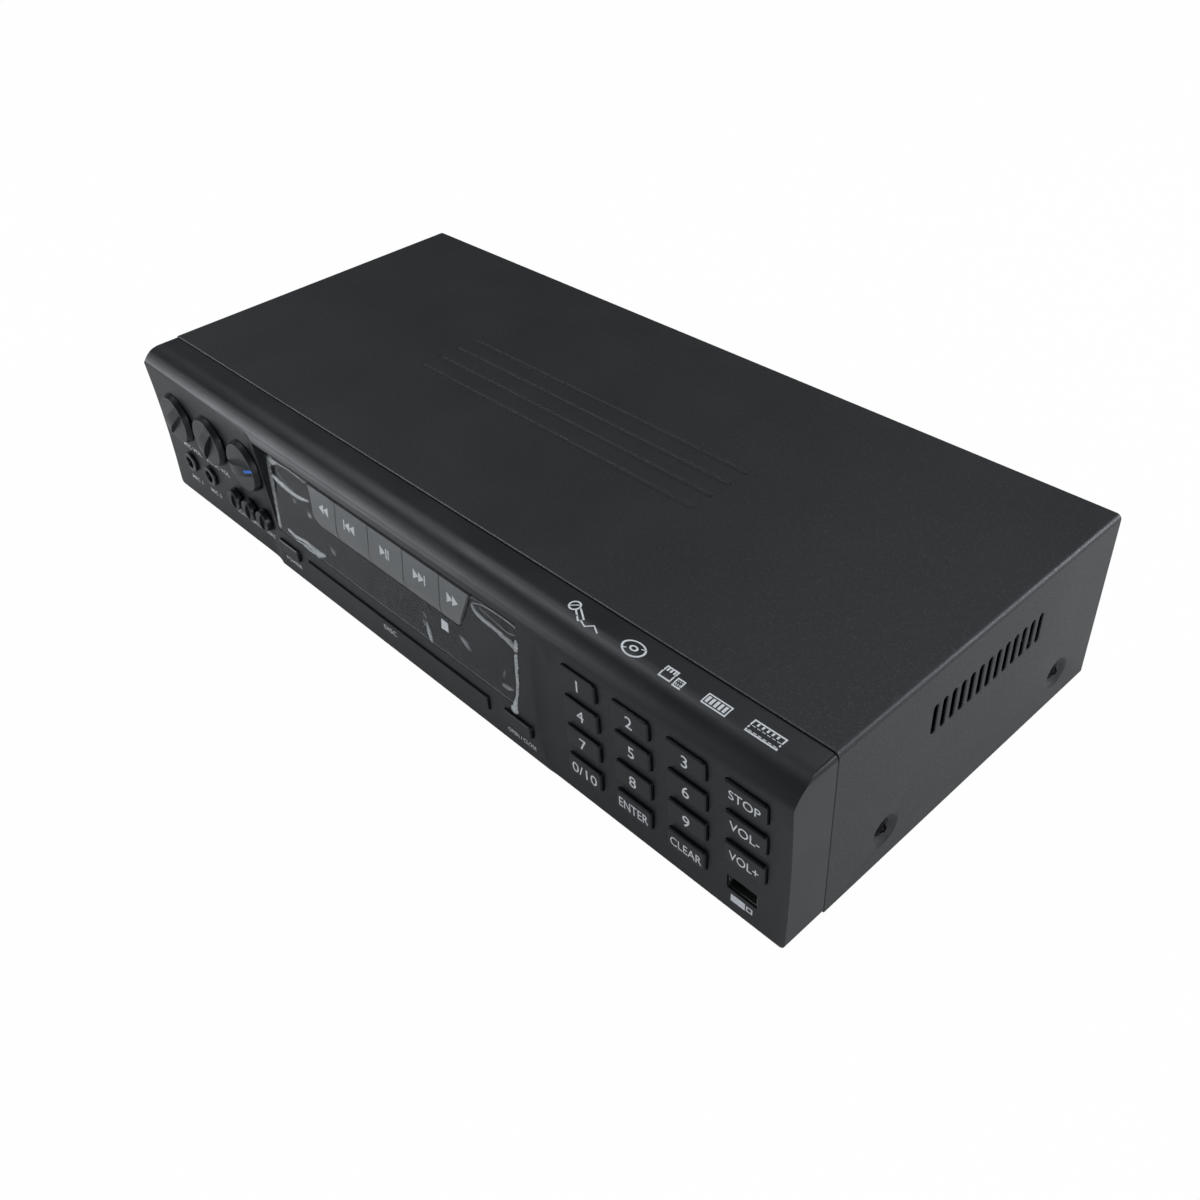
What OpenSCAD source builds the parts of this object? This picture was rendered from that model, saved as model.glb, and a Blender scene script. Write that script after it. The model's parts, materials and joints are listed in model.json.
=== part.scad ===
// Karaoke machine with disc tray: a full-width home player with microphone inputs.
// X runs to the right, Y runs from the front to the back, Z runs up from the underside of the feet.
// Inside the modules Y = 0 is the flat middle of the front and Z = 0 the lower edge of the housing.

/* [Housing] */
// Width of the housing
body_w = 430; // [400:1:520]
// Depth of the housing without its sockets
body_d = 195; // [185:1:260]
// Height of the housing without its feet
body_h = 81; // [76:1:110]
// Height of the rubber feet below the housing
foot_h = 2; // [1.5:0.5:12]
// Diameter of the rubber feet
foot_d = 20; // [12:1:30]
// Thickness of the cover's sheet steel
sheet = 1.0; // [0.8:0.1:1.5]
// Outer radius of the cover's bends
bend_r = 2.5; // [2:0.5:6]

/* [Front panel] */
// Depth of the moulded front panel, from its face to the cover's edge
panel_d = 21.4; // [18:0.2:30]
// Wall of the front panel
panel_wall = 2.5; // [2:0.1:3.5]
// Length of the rim behind the panel that the cover slips over
lip_len = 3.6; // [2:0.2:6]
// Radius of the rounded brow along the top edge
brow_r = 15; // [10:0.5:20]
// How far the brow's centre lies behind the face
brow_y = 14; // [10:0.5:19]
// Radius of the dished left and right sections, from top to bottom
dish_r = 600; // [400:10:1500]
// Depth of the dish in the left section
dish_left = 2.5; // [1.5:0.1:3]
// Depth of the dish in the right section
dish_right = 1.35; // [0.8:0.05:2]
// Radius of the blend from the left section to the middle
blend_left = 30; // [15:1:40]
// Radius of the blend from the right section to the middle
blend_right = 55; // [30:1:70]
// Where the left section's blend starts, left of the centre
left_edge = 116.5; // [112:0.5:118]
// Where the right section's blend starts, right of the centre
right_edge = 99.5; // [96:0.5:101]

/* [Display window] */
// Height of the window's lower edge
window_z = 24; // [22:0.5:26]
// Height of the window plate
window_h = 39; // [36:0.5:42]
// Lean of the window, as depth gained for each unit of height
window_lean = 0.123; // [0:0.001:0.15]
// Thickness of the window plate
window_t = 2; // [1.5:0.1:3]
// Left end of the window's lower edge
window_x0 = -102; // [-104:0.5:-98]
// Right end of the window's lower edge
window_x1 = 77; // [72:0.5:80]
// How much further the window reaches at each end at its top
window_flare = 4.5; // [0:0.5:5]
// Thickness of the protective film
film_t = 0.3; // [0.2:0.1:0.5]

/* [Keys] */
// Width of a keypad key
key_w = 18.2; // [16:0.2:20]
// Height of a keypad key
key_h = 9.4; // [8:0.2:11]
// Corner radius of the keys
key_r = 1.5; // [0.8:0.1:2.5]
// Chamfer round the front of each key
key_chamfer = 0.5; // [0.2:0.1:0.8]
// How far the keys stand out of the panel
key_proud = 1.5; // [1.2:0.1:2.5]
// Gap round each key
key_gap = 0.4; // [0.3:0.05:0.6]
// Distance between key columns
key_pitch_x = 26.6; // [22:0.2:28]
// Distance between key rows
key_pitch_z = 15.3; // [13:0.1:16]
// Left column of the keypad
keypad_x = 116.3; // [114:0.1:118]
// Bottom row of the keypad
keypad_z = 15.6; // [13:0.1:17]
// Travel of every key
key_travel = 0.9; // [0.5:0.1:1]
// Width of the power and open/close keys
side_key_w = 17.4; // [14:0.2:18]
// Height of the power and open/close keys
side_key_h = 6.2; // [5:0.2:7]
// Centre of the power key
power_x = -94.6; // [-96:0.2:-93]
// Centre of the open/close key
open_x = 76.9; // [74:0.1:77]
// Height of the power and open/close keys' centres
side_key_z = 14.9; // [12:0.1:15.5]
// Lower edge of the transport key bar
bar_z = 43.4; // [40:0.2:48]
// How far the transport keys stand out of the window
bar_proud = 1.2; // [0.8:0.1:1.6]
// Left end of the transport key bar
bar_x = -68; // [-72:0.5:-66]
// Width of the leftmost transport key
bar_first = 21.4; // [19:0.1:22]
// Width of the three transport keys beside it
bar_pitch = 25.2; // [23:0.1:27]
// Width of the rightmost transport key along its lower edge
bar_last = 12; // [10:0.1:14]
// Gap between transport keys
bar_gap = 0.5; // [0.4:0.1:0.8]

/* [Knobs] */
// Diameter of the large knobs at the panel
knob_d = 27; // [22:0.5:28]
// Diameter of the large knobs at their face
knob_face_d = 24.6; // [20:0.2:26]
// Height of the large knobs
knob_h = 2.8; // [2.5:0.1:8]
// Height of the finger grip above the large knobs' face
grip_h = 2.6; // [1.5:0.1:3.5]
// Thickness of the finger grip
grip_t = 5.4; // [3:0.1:7]
// Thickness of the small knobs' grip
small_grip_t = 1.6; // [1.2:0.1:3]
// Where the microphone volume knob points at rest, in degrees up from the right
mic_rest = 225; // [-60:1:240]
// Where the music volume knob points at rest
music_rest = 236; // [-60:1:240]
// Where the master volume knob points at rest
master_rest = 13; // [-60:1:240]
// Distance between the large knobs
knob_pitch = 33.6; // [30:0.1:34]
// Centre of the right large knob
knob_x = -124.9; // [-127:0.1:-124]
// Height of the large knobs' centres
knob_z = 49.4; // [46:0.1:52]
// Diameter of the small knobs
small_knob_d = 12; // [9:0.5:12.5]
// Height of the small knobs
small_knob_h = 3; // [2.5:0.1:6]
// Distance between the small knobs
small_knob_pitch = 13.8; // [13.4:0.1:14]
// Centre of the right small knob
small_knob_x = -117.8; // [-121:0.1:-117]
// Height of the small knobs' centres
small_knob_z = 20.9; // [20:0.1:24]
// Gap between a knob and the panel behind it
knob_gap = 0.3; // [0.3:0.05:1]
// Shaft diameter of the potentiometers
shaft_d = 6; // [5:0.1:6]

/* [Front sockets] */
// Radius of the microphone jacks' bore
jack_r = 3.2; // [3.15:0.05:3.3]
// Outer diameter of the microphone jacks' ring nuts
jack_ring_d = 11; // [10:0.5:13]
// Centre of the left microphone jack
jack_x = -193; // [-196:0.5:-190]
// Distance between the microphone jacks
jack_pitch = 20.5; // [18:0.5:22]
// Height of the microphone jacks
jack_z = 22.4; // [20:0.1:24]
// Centre of the USB socket
usb_x = 194.9; // [190:0.1:198]
// Height of the USB socket
usb_z = 13.7; // [12:0.1:15]

/* [Cover] */
// Number of vent slots in each side
vent_count = 13; // [6:1:16]
// Distance between vent slots
vent_pitch = 5.55; // [4.5:0.05:6]
// Width of a vent slot
vent_w = 2.8; // [2:0.1:3.2]
// Height of a vent slot
vent_h = 14; // [8:0.5:20]
// Middle of the row of vent slots, behind the face
vent_y = 110.5; // [90:0.5:115]
// Middle of the row of vent slots, above the lower edge
vent_z = 56; // [45:0.5:58]
// Diameter of the pressed screw dimples
dimple_d = 18; // [14:0.5:20]
// Depth of the pressed screw dimples
dimple_depth = 2; // [1.2:0.1:2.5]
// Front screw, behind the face
screw_front_y = 55; // [45:1:60]
// Rear screw, in front of the back
screw_rear = 26; // [20:1:40]
// Height of the side screws
screw_z = 16.5; // [14:0.5:18]

/* [Disc loader] */
// Middle of the tray from left to right
tray_x = -10.2; // [-14:0.1:-6]
// Width of the tray door
door_w = 135.6; // [134:0.2:137]
// Height of the tray door
door_h = 6.8; // [6:0.1:7.2]
// Lower edge of the tray door
door_z = 9.8; // [9.2:0.1:10]
// How far the tray door stands out of the panel
door_proud = 0.9; // [0:0.1:1.5]
// Gap round the tray door
door_gap = 0.6; // [0.4:0.1:0.8]
// Width of the tray
tray_w = 127; // [125:0.5:128]
// Length of the tray behind its door
tray_len = 158; // [156:1:162]
// Travel of the tray
tray_travel = 132; // [60:1:133]
// Top of the tray
tray_top = 16.1; // [15.8:0.1:16.3]
// Diameter of the recess that takes a 120 mm disc
recess_d = 121.4; // [121:0.1:122]
// Middle of the disc behind the face
disc_y = 71; // [70:0.5:74]
// Module of the gears and the rack
gear_module = 1.5; // [1.45:0.01:1.5]
// Teeth of the drive gear
drive_teeth = 20; // [20:20]
// Teeth of the pinion on the pulley gear
pinion_teeth = 12; // [12:12]
// Side play between meshing teeth
backlash = 0.16; // [0.12:0.01:0.3]
// Fall of the traverse frame's front when it lets go of the disc, in degrees
traverse_tilt = 3.4; // [2.5:0.1:3.6]
// Travel of the pickup
sled_travel = 35; // [20:1:35]

/* [Inside] */
// Distance from the face to the front board
board_y = 13.6; // [13.6:0.2:16]
// Thickness of the boards
board_t = 1.6; // [1.2:0.2:2]
// Width of the transformer's core
core_w = 66; // [54:1:76]
// Height of the transformer's core
core_h = 55; // [45:1:58]

/* [Hidden] */
$fn = 48;
eps = 0.01;
big = 400;
fit = 0.1;
half_w = body_w / 2;
panel_h = body_h - 0.7;
brow_z = panel_h - brow_r;
dish_z = 36;
left_wall = dish_left + panel_wall;
right_wall = dish_right + panel_wall;
cover_y0 = panel_d + 0.4;
door_t = 3;
door_x0 = tray_x - door_w / 2;
door_back = door_t - door_proud;
window_top = window_z + window_h;
window_y = 0.2;
recess_top = panel_h - brow_r + 5;
ledge = 3;
seat_gap = 0.15;
bar_bevel = 4.6;
bar_end_lean = 7;
bar_left_r = 6;
bar_right_r = 3;
bar_left_lean = 2.2;
bar_x1 = bar_x + bar_first + 3 * bar_pitch + bar_last;
flange_t = 1.2;
flange_w = 1.2;
stem_d = 4;
switch_size = 6;
switch_h = 3.5;
plunger_h = 1.4;
stem_y = board_y - switch_h - plunger_h - key_travel - 0.1;
chassis_z = 0.5;
chassis_top = chassis_z + sheet;
chassis_x = half_w - dimple_depth - sheet - 0.03;
back_y = body_d - 0.2;
front_reach = knob_h + grip_h - knob_back(knob_z, knob_d);
socket_reach = 9;
rear_reach = back_y + socket_reach;
mid_y = (rear_reach - front_reach) / 2;

// Disc loader
tray_floor = tray_top - 2.0;
tray_bottom = tray_top - 3.6;
tray_y0 = door_back;
tray_y1 = tray_y0 + tray_len;
rail_w = 2.2;
rail_z0 = tray_bottom + 0.5;
rail_z1 = tray_top - 0.9;
frame_in = tray_w / 2 + rail_w + 0.6;
frame_out = frame_in + 2.7;
frame_z0 = panel_wall + 0.3;
frame_floor = frame_z0 + 1.3;
frame_top = 20;
frame_y0 = 7;
frame_y1 = 172;
loader_hole_y0 = 46;
gear_pitch = PI * gear_module;
drive_r = gear_module * drive_teeth / 2;
pinion_r = gear_module * pinion_teeth / 2;
rack_x = tray_x + 52;
drive_x = rack_x - drive_r;
drive_y = 27;
pulley_x = drive_x - drive_r - pinion_r;
pulley_r = 13;
motor_pulley_r = 3.5;
motor_x = tray_x + frame_out + 13;
belt_w = 1.2;
belt_z0 = frame_floor + 0.9;
belt_z1 = belt_z0 + 1.8;
teeth_z0 = belt_z1 + 1.2;
teeth_z1 = tray_bottom - 0.4;
post_r = 2;
running = 0.06;
rack_teeth = floor((tray_travel + 14.2) / gear_pitch);
rack_z0 = door_z - 0.3;
pivot_y = 148;
pivot_z = 8;
pivot_r = 1.5;
deck_z0 = 9.4;
deck_z1 = 10.9;
flange_z = tray_floor + 1.5;
boss_h = 1.8;
bridge_z0 = frame_top;
bridge_z1 = bridge_z0 + 2;
puck_r = 15;
puck_z = tray_top + 0.5;
rod_x = 20;
rod_r = 1.5;
rod_z = 8.4;
sled_y = disc_y + 23;

// From machine coordinates to the row frame: middle of the whole, underside of the feet
module place() translate([0, -mid_y, foot_h]) children();

// Box between two corners
module block(x, y, z) translate([x[0], y[0], z[0]]) cube([x[1] - x[0], y[1] - y[0], z[1] - z[0]]);

// Rectangle round the origin with rounded corners
module rounded(w, h, r) {
    square([w - 2 * r, h], center = true);
    square([w, h - 2 * r], center = true);
    for (i = [-1, 1], k = [-1, 1]) translate([i * (w / 2 - r), k * (h / 2 - r)]) circle(r);
}

// Outline in X and Z, drawn out along Y
module along_y(y0, y1) translate([0, y1, 0]) rotate([90, 0, 0]) linear_extrude(y1 - y0) children();

// Outline in Y and Z, drawn out along X
module along_x(x0, x1) translate([x0, 0, 0]) rotate([90, 0, 90]) linear_extrude(x1 - x0) children();

// Cylinder along Y
module rod_y(r, y0, y1) translate([0, y1, 0]) rotate([90, 0, 0]) cylinder(r = r, h = y1 - y0);

// Slot along Z in an X-Z outline
module slot_shape(w, h) {
    square([w, h - w], center = true);
    for (k = [-1, 1]) translate([0, k * (h - w) / 2]) circle(w / 2);
}

// Depth of a dished section at height z
function dish_at(z, depth) = depth - dish_r + sqrt(pow(dish_r, 2) - pow(z - dish_z, 2));
// Depth of the window's front at height z
function window_at(z) = window_y + window_lean * (z - window_z);
// Rear face of a knob of diameter d at height z
function knob_back(z, d) = min(dish_at(z + d / 2, dish_left), dish_at(z - d / 2, dish_left)) - knob_gap;
// Column centres and row centres of the keypad, row 0 at the bottom
function key_x(column) = keypad_x + column * key_pitch_x;
function key_z(row) = keypad_z + row * key_pitch_z;
keypad_top = key_z(3) + key_h / 2 + flange_w + 1.2;
// Left and right end of transport key i
function bar_left(i) = i == 0 ? bar_x : bar_x + bar_first + (i - 1) * bar_pitch;
function bar_right(i) = i == 4 ? bar_x1 : bar_x + bar_first + i * bar_pitch;

// Front panel
module panel_outline(inset) {
    w = body_w - 2 * inset;
    difference() {
        translate([0, panel_h / 2]) union() {
            square([w - 2 * bend_r, panel_h - 2 * inset], center = true);
            square([w, panel_h - 2 * inset - 2 * bend_r], center = true);
            for (i = [-1, 1], k = [-1, 1])
                translate([i * (w / 2 - bend_r), k * (panel_h / 2 - inset - bend_r)]) circle(bend_r);
        }
    }
}
module panel_profile() {
    square([panel_d, brow_z]);
    translate([brow_y, 0]) square([panel_d - brow_y, panel_h]);
    intersection() {
        translate([brow_y, brow_z]) circle(brow_r, $fn = 96);
        square([panel_d, panel_h]);
    }
}
module dish_cut(start, side, depth, blend) {
    translate([start, depth - dish_r, dish_z]) rotate([0, side * 90, 0])
        rotate_extrude($fn = 180) {
            square([dish_r, half_w - side * start + 5]);
            translate([dish_r - blend, 0]) circle(blend);
        }
}
module cavity(x0, x1, wall, y0) {
    along_x(x0, x1) polygon([[y0, wall], [panel_d + 1, wall], [panel_d + 1, panel_h - wall],
        [brow_y, panel_h - wall], [y0 + 3, keypad_top + 5], [y0, keypad_top]]);
}
module window_outline(grow, z0, z1) {
    flare = window_flare / window_h;
    polygon([[window_x0 - flare * (z0 - window_z) - grow, z0], [window_x1 + flare * (z0 - window_z) + grow, z0],
        [window_x1 + flare * (z1 - window_z) + grow, z1], [window_x0 - flare * (z1 - window_z) - grow, z1]]);
}
// Leaning slab between two depths from the window's front, over the window's outline
module window_slab(front, back, grow, z0, z1) intersection() {
    along_x(window_x0 - 12, window_x1 + 12)
        polygon([[window_at(z0) + front, z0], [window_at(z0) + back, z0],
            [window_at(z1) + back, z1], [window_at(z1) + front, z1]]);
    along_y(-30, 60) window_outline(grow, z0, z1);
}
module panel_key_hole(x, z, w, h)
    along_y(-5, 8) translate([x, z]) rounded(w + 2 * key_gap, h + 2 * key_gap, key_r + key_gap);
// Rim on the panel's rear edge that the cover slips over
module cover_lip() intersection() {
    along_y(panel_d - 0.6, panel_d + lip_len) difference() {
        cover_outline(sheet + 0.15);
        cover_outline(panel_wall);
    }
    block([-half_w, half_w], [0, panel_d + 10], [6, body_h]);
}
module front_panel() place() color([0.16, 0.165, 0.175]) difference() {
    union() {
        intersection() {
            along_x(-half_w, half_w) panel_profile();
            along_y(-5, panel_d + 5) panel_outline(0);
        }
        cover_lip();
    }
    cavity(-half_w + panel_wall, -left_edge + 6, panel_wall, left_wall);
    cavity(right_edge - 8, half_w - panel_wall, panel_wall, right_wall);
    along_x(-left_edge + 4, right_edge - 6)
        polygon([[panel_wall, panel_wall], [panel_wall, 19.5], [5, 22], [window_at(recess_top) + 5.2, recess_top],
            [brow_y, panel_h - panel_wall], [panel_d + 1, panel_h - panel_wall], [panel_d + 1, panel_wall]]);
    dish_cut(-left_edge, -1, dish_left, blend_left);
    dish_cut(right_edge, 1, dish_right, blend_right);
    window_slab(-6, 0, seat_gap, window_z - seat_gap, recess_top);
    window_slab(-1, window_t + seat_gap, seat_gap, window_z - seat_gap, window_top + seat_gap);
    window_slab(0, 30, -ledge, window_z + ledge, window_top + seat_gap);
    along_y(-5, 8) translate([tray_x, door_z + door_h / 2])
        rounded(door_w + 2 * door_gap, door_h + 2 * door_gap, 0.8);
    for (c = [0:2], r = [0:3]) panel_key_hole(key_x(c), key_z(r), key_w, key_h);
    for (r = [1:3]) panel_key_hole(key_x(3), key_z(r), key_w, key_h);
    panel_key_hole(power_x, side_key_z, side_key_w, side_key_h);
    panel_key_hole(open_x, side_key_z, side_key_w, side_key_h);
    along_y(-5, 8) translate([usb_x, usb_z]) rounded(14, 6.8, 0.6);
    for (i = [0:1]) translate([jack_x + i * jack_pitch, 0, jack_z]) rod_y(4.6, -5, 8);
    for (i = [0:2]) {
        translate([knob_x - i * knob_pitch, 0, knob_z]) rod_y(4, -5, 8);
        translate([small_knob_x - i * small_knob_pitch, 0, small_knob_z]) rod_y(4, -5, 8);
    }
}

// Keys
module key_shape(x, z, w, h, face, back) intersection() {
    along_y(face, back) translate([x, z]) rounded(w, h, key_r);
    along_x(x - w, x + w) polygon([[face, z - h / 2 + key_chamfer], [face + key_chamfer, z - h / 2],
        [back, z - h / 2], [back, z + h / 2], [face + key_chamfer, z + h / 2], [face, z + h / 2 - key_chamfer]]);
    translate([0, 0, z - h]) linear_extrude(2 * h) polygon([[x - w / 2 + key_chamfer, face],
        [x - w / 2, face + key_chamfer], [x - w / 2, back], [x + w / 2, back],
        [x + w / 2, face + key_chamfer], [x + w / 2 - key_chamfer, face]]);
}
module key(x, z, w, h, surface, wall) place() color([0.14, 0.145, 0.155]) union() {
    key_shape(x, z, w, h, surface - key_proud, wall + 0.2);
    along_y(wall + 0.1, wall + 0.1 + flange_t) translate([x, z])
        rounded(w + 2 * flange_w, h + 2 * flange_w, key_r);
    translate([x, 0, z]) rod_y(stem_d / 2, wall + flange_t, stem_y);
}
module keypad_key(column, row)
    key(key_x(column), key_z(row), key_w, key_h, dish_at(key_z(row), dish_right), right_wall);
module side_key(x) key(x, side_key_z, side_key_w, side_key_h, 0, panel_wall);

// Points of an arc on the X-Z face, from one angle to another
function arc(x, z, r, from, to) = [for (i = [0:6]) let (a = from + (to - from) * i / 6) [x + r * cos(a), z + r * sin(a)]];
// The transport keys share one bar outline with rounded lower corners, cut into five
module bar_outline(grow, z0, z1) {
    lean = bar_end_lean / (window_top - bar_z);
    lean_angle = atan(lean);
    left_r = bar_left_r + grow;
    right_r = bar_right_r + grow;
    left_lean = bar_left_lean / (window_top - bar_z - bar_left_r);
    polygon(concat([[bar_x + bar_left_lean - grow - left_lean * (z1 - z0 - left_r), z1]],
        arc(bar_x + bar_left_lean + bar_left_r, z0 + left_r, left_r, 180, 270),
        arc(bar_x1 + grow - right_r * tan(45 - lean_angle / 2), z0 + right_r, right_r, 270, 360 - lean_angle),
        [[bar_x1 + lean * (z1 - z0) + grow, z1]]));
}
module bar_solid(grow, front, back, z0) intersection() {
    along_x(bar_x - 5, bar_x1 + 15) polygon([[window_at(z0) + back, z0], [window_at(z0), z0],
        [window_at(z0 + bar_bevel) + front, z0 + bar_bevel], [window_at(window_top) + front, window_top],
        [window_at(window_top) + back, window_top]]);
    along_y(-30, 60) bar_outline(grow, z0, window_top);
}
module transport_key(i) place() color([0.42, 0.43, 0.44]) union() {
    intersection() {
        bar_solid(0, -bar_proud, window_t + 0.6, bar_z);
        block([bar_left(i) + (i == 0 ? -5 : bar_gap / 2), bar_right(i) + (i == 4 ? 15 : -bar_gap / 2)],
            [-10, 30], [0, panel_h]);
    }
    middle = (bar_left(i) + bar_right(i)) / 2;
    stem_z = bar_z + 6;
    block([middle - 6, middle + 6], [window_at(stem_z) + window_t + 0.3, stem_y - 0.4], [bar_z - 1.2, stem_z + 2]);
    translate([middle, 0, stem_z]) rod_y(stem_d / 2, window_at(stem_z) + window_t, stem_y);
}

module display_window() place() color([0.1, 0.1, 0.11, 0.6]) difference() {
    window_slab(0, window_t, 0, window_z, window_top);
    translate([0, 0, 0]) intersection() {
        along_x(bar_x - 5, bar_x1 + 15) square([40, body_h]);
        along_y(-30, 60) bar_outline(key_gap, bar_z - key_gap, window_top + 5);
    }
}
// The film lies on the window and passes over the key bar as a low blister
module window_film() place() color([0.8, 0.82, 0.85, 0.3]) difference() {
    union() {
        window_slab(-film_t, 0, -0.4, window_z + 0.4, window_top - 0.2);
        intersection() {
            bar_solid(0.9, -bar_proud - 0.3 - film_t, 0, bar_z - 1.2);
            along_y(-30, 60) window_outline(-0.4, window_z, window_top - 0.2);
        }
    }
    intersection() {
        bar_solid(0.6, -bar_proud - 0.3, 3, bar_z - 0.8);
        along_y(-30, 60) window_outline(4, window_z, window_top + 5);
    }
}

// Knobs, drawn round their own axis with the pointer along +X and turned to their rest angle
module knob_body(z, d, face_d, h, grip, thick, rest) {
    y0 = knob_back(z, d);
    rotate([0, -rest, 0]) difference() {
        union() {
            translate([0, y0, 0]) rotate([90, 0, 0]) cylinder(d1 = d, d2 = face_d, h = h, $fn = 96);
            chord = face_d - 1.2;
            crest_r = (pow(chord / 2, 2) + pow(grip, 2)) / (2 * grip);
            intersection() {
                translate([0, y0 - h - grip + crest_r, 0])
                    translate([0, 0, -thick]) cylinder(r = crest_r, h = 2 * thick, $fn = 96);
                block([-chord / 2, chord / 2], [y0 - h - grip - 1, y0 - h + 0.5], [-thick / 2, thick / 2]);
            }
        }
        rod_y(shaft_d / 2 + 0.02, y0 - h + 1, y0 + 1);
        difference() {
            rod_y(d / 2 - 2, y0 - 0.6, y0 + 1);
            rod_y(shaft_d / 2 + 1.6, y0 - 1, y0 + 2);
        }
    }
    rod_y(shaft_d / 2, y0 - h + 1.1, board_y - 6);
}
module large_knob(i, rest) place() color([0.15, 0.155, 0.165])
    translate([knob_x - i * knob_pitch, 0, knob_z]) knob_body(knob_z, knob_d, knob_face_d, knob_h, grip_h, grip_t, rest);
module small_knob(i, rest) place() color([0.15, 0.155, 0.165])
    translate([small_knob_x - i * small_knob_pitch, 0, small_knob_z])
        knob_body(small_knob_z, small_knob_d, small_knob_d - 1, small_knob_h, 1.2, small_grip_t, rest);

// Housing
module cover_outline(inset) {
    w = body_w - 2 * inset;
    r = max(bend_r - inset, 0);
    translate([-w / 2, -1]) square([w, body_h - inset - r + 1]);
    translate([-w / 2 + r, 0]) square([w - 2 * r, body_h - inset]);
    for (i = [-1, 1]) translate([i * (w / 2 - r), body_h - inset - r]) circle(r);
}
screw_ys = [screw_front_y, body_d - screw_rear];
module dimple() rotate([0, -90, 0]) cylinder(d1 = dimple_d, d2 = dimple_d / 2, h = dimple_depth + sheet);
module cover_side_details() {
    for (i = [0:vent_count - 1])
        translate([half_w, vent_y + (i - (vent_count - 1) / 2) * vent_pitch, vent_z])
            rotate([90, 0, 90]) translate([0, 0, -3]) linear_extrude(6) slot_shape(vent_w, vent_h);
}
bead_count = 4;
bead_pitch = 11;
bead_len = 180;
module beads(depth, w) for (i = [0:bead_count - 1])
    translate([0, 88 + i * bead_pitch, body_h - depth]) linear_extrude(2) rotate(90) slot_shape(w, bead_len);
module top_cover() place() color([0.13, 0.135, 0.145]) difference() {
    union() {
        difference() {
            along_y(cover_y0, body_d) cover_outline(0);
            along_y(cover_y0 - 1, body_d + 1) cover_outline(sheet);
            block([-half_w - 1, half_w + 1], [0, body_d + 1], [-5, 0]);
        }
        for (s = [0, 1], y = screw_ys) mirror([s, 0, 0]) translate([half_w, y, screw_z])
            difference() {
                dimple();
                translate([sheet, 0, 0]) dimple();
            }
        for (i = [0:bead_count - 1]) translate([0, 88 + i * bead_pitch, body_h - sheet - 0.4])
            linear_extrude(0.5) rotate(90) slot_shape(3.6, bead_len + 1);
    }
    for (s = [0, 1], y = screw_ys) mirror([s, 0, 0]) {
        translate([half_w + sheet, y, screw_z]) dimple();
        translate([half_w - 10, y, screw_z]) rotate([0, 90, 0]) cylinder(r = 1.7, h = 20);
    }
    for (s = [0, 1]) mirror([s, 0, 0]) cover_side_details();
    beads(0.45, 2.4);
}
module chassis() place() color([0.62, 0.64, 0.66]) difference() {
    union() {
        block([-chassis_x, chassis_x], [panel_d + 0.5, back_y - 2.2], [chassis_z, chassis_top]);
        for (s = [-1, 1]) translate([s * (chassis_x - sheet / 2), 0, 0])
            block([-sheet / 2, sheet / 2], [panel_d + 0.5, back_y - 2.2], [chassis_z, screw_z + 8]);
        block([-chassis_x, chassis_x], [panel_d + 0.5, panel_d + 0.5 + sheet], [chassis_z, frame_z0 - 0.3]);
    }
    for (s = [-1, 1], y = screw_ys) translate([s * chassis_x, y, screw_z]) rotate([0, 90, 0])
        cylinder(r = 1.35, h = 10, center = true);
    for (x = [-180:12:-108], y = [60:30:150]) translate([x, y, 0]) linear_extrude(5) slot_shape(3, 20);
    for (x = [96:12:180], y = [125:30:165]) translate([x, y, 0]) linear_extrude(5) slot_shape(3, 20);
}
module feet() place() color([0.08, 0.08, 0.08])
    for (x = [-1, 1], y = [34, body_d - 24]) translate([x * (half_w - 32), y, -foot_h]) difference() {
        cylinder(d1 = foot_d - 1, d2 = foot_d, h = foot_h + chassis_z, $fn = 64);
        translate([0, 0, -1]) cylinder(d = foot_d / 2, h = 1.6);
    }
module phillips_screw(head_r, head_h, shank_r, shank_l) difference() {
    union() {
        intersection() {
            translate([0, 0, head_h - head_r * 1.4]) sphere(head_r * 1.4, $fn = 48);
            cylinder(r = head_r, h = head_h + 1);
        }
        translate([0, 0, -shank_l]) cylinder(r = shank_r, h = shank_l + 0.1);
    }
    for (a = [0, 90]) rotate(a) translate([-head_r * 0.6, -0.45, head_h - 1.1]) cube([head_r * 1.2, 0.9, 3]);
}
module cover_screws() place() color([0.2, 0.2, 0.21]) {
    for (s = [0, 1], y = screw_ys) mirror([s, 0, 0])
        translate([half_w - dimple_depth + 0.02, y, screw_z]) rotate([0, 90, 0])
            phillips_screw(3.9, 1.9, 1.3, 7);
    for (x = [-190, 0, 190]) translate([x, back_y, 74]) rotate([-90, 0, 0]) phillips_screw(3, 1.6, 1.3, 6);
}
inlet_x = -180;
inlet_z = 30;
phono_x = 20;
phono_pitch = 15;
phono_z = 36;
phono_r = 4.15;
terminal_x = 150;
terminal_z = 36;
module rear_panel() place() color([0.5, 0.52, 0.54]) difference() {
    union() {
        intersection() {
            along_y(back_y - sheet, back_y) cover_outline(sheet + 0.25);
            block([-half_w, half_w], [0, body_d + 1], [chassis_z, body_h]);
        }
        for (x = [-190, 0, 190]) block([x - 8, x + 8], [back_y - 9, back_y], [body_h - 2 * sheet - 0.25, body_h - sheet - 0.25]);
    }
    for (x = [-190, 0, 190]) translate([x, 0, 74]) rod_y(1.7, back_y - 5, back_y + 5);
    along_y(back_y - 5, back_y + 5) {
        translate([inlet_x, inlet_z]) rounded(21.4, 13.4, 1);
        for (i = [0:3], k = [0:1]) translate([phono_x + i * phono_pitch, phono_z + (k - 0.5) * phono_pitch]) circle(phono_r + 0.25);
        translate([terminal_x, terminal_z]) rounded(58.4, 22.4, 1);
        for (i = [0:11]) translate([-120 + i * 8, 55]) slot_shape(3, 18);
    }
}

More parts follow.
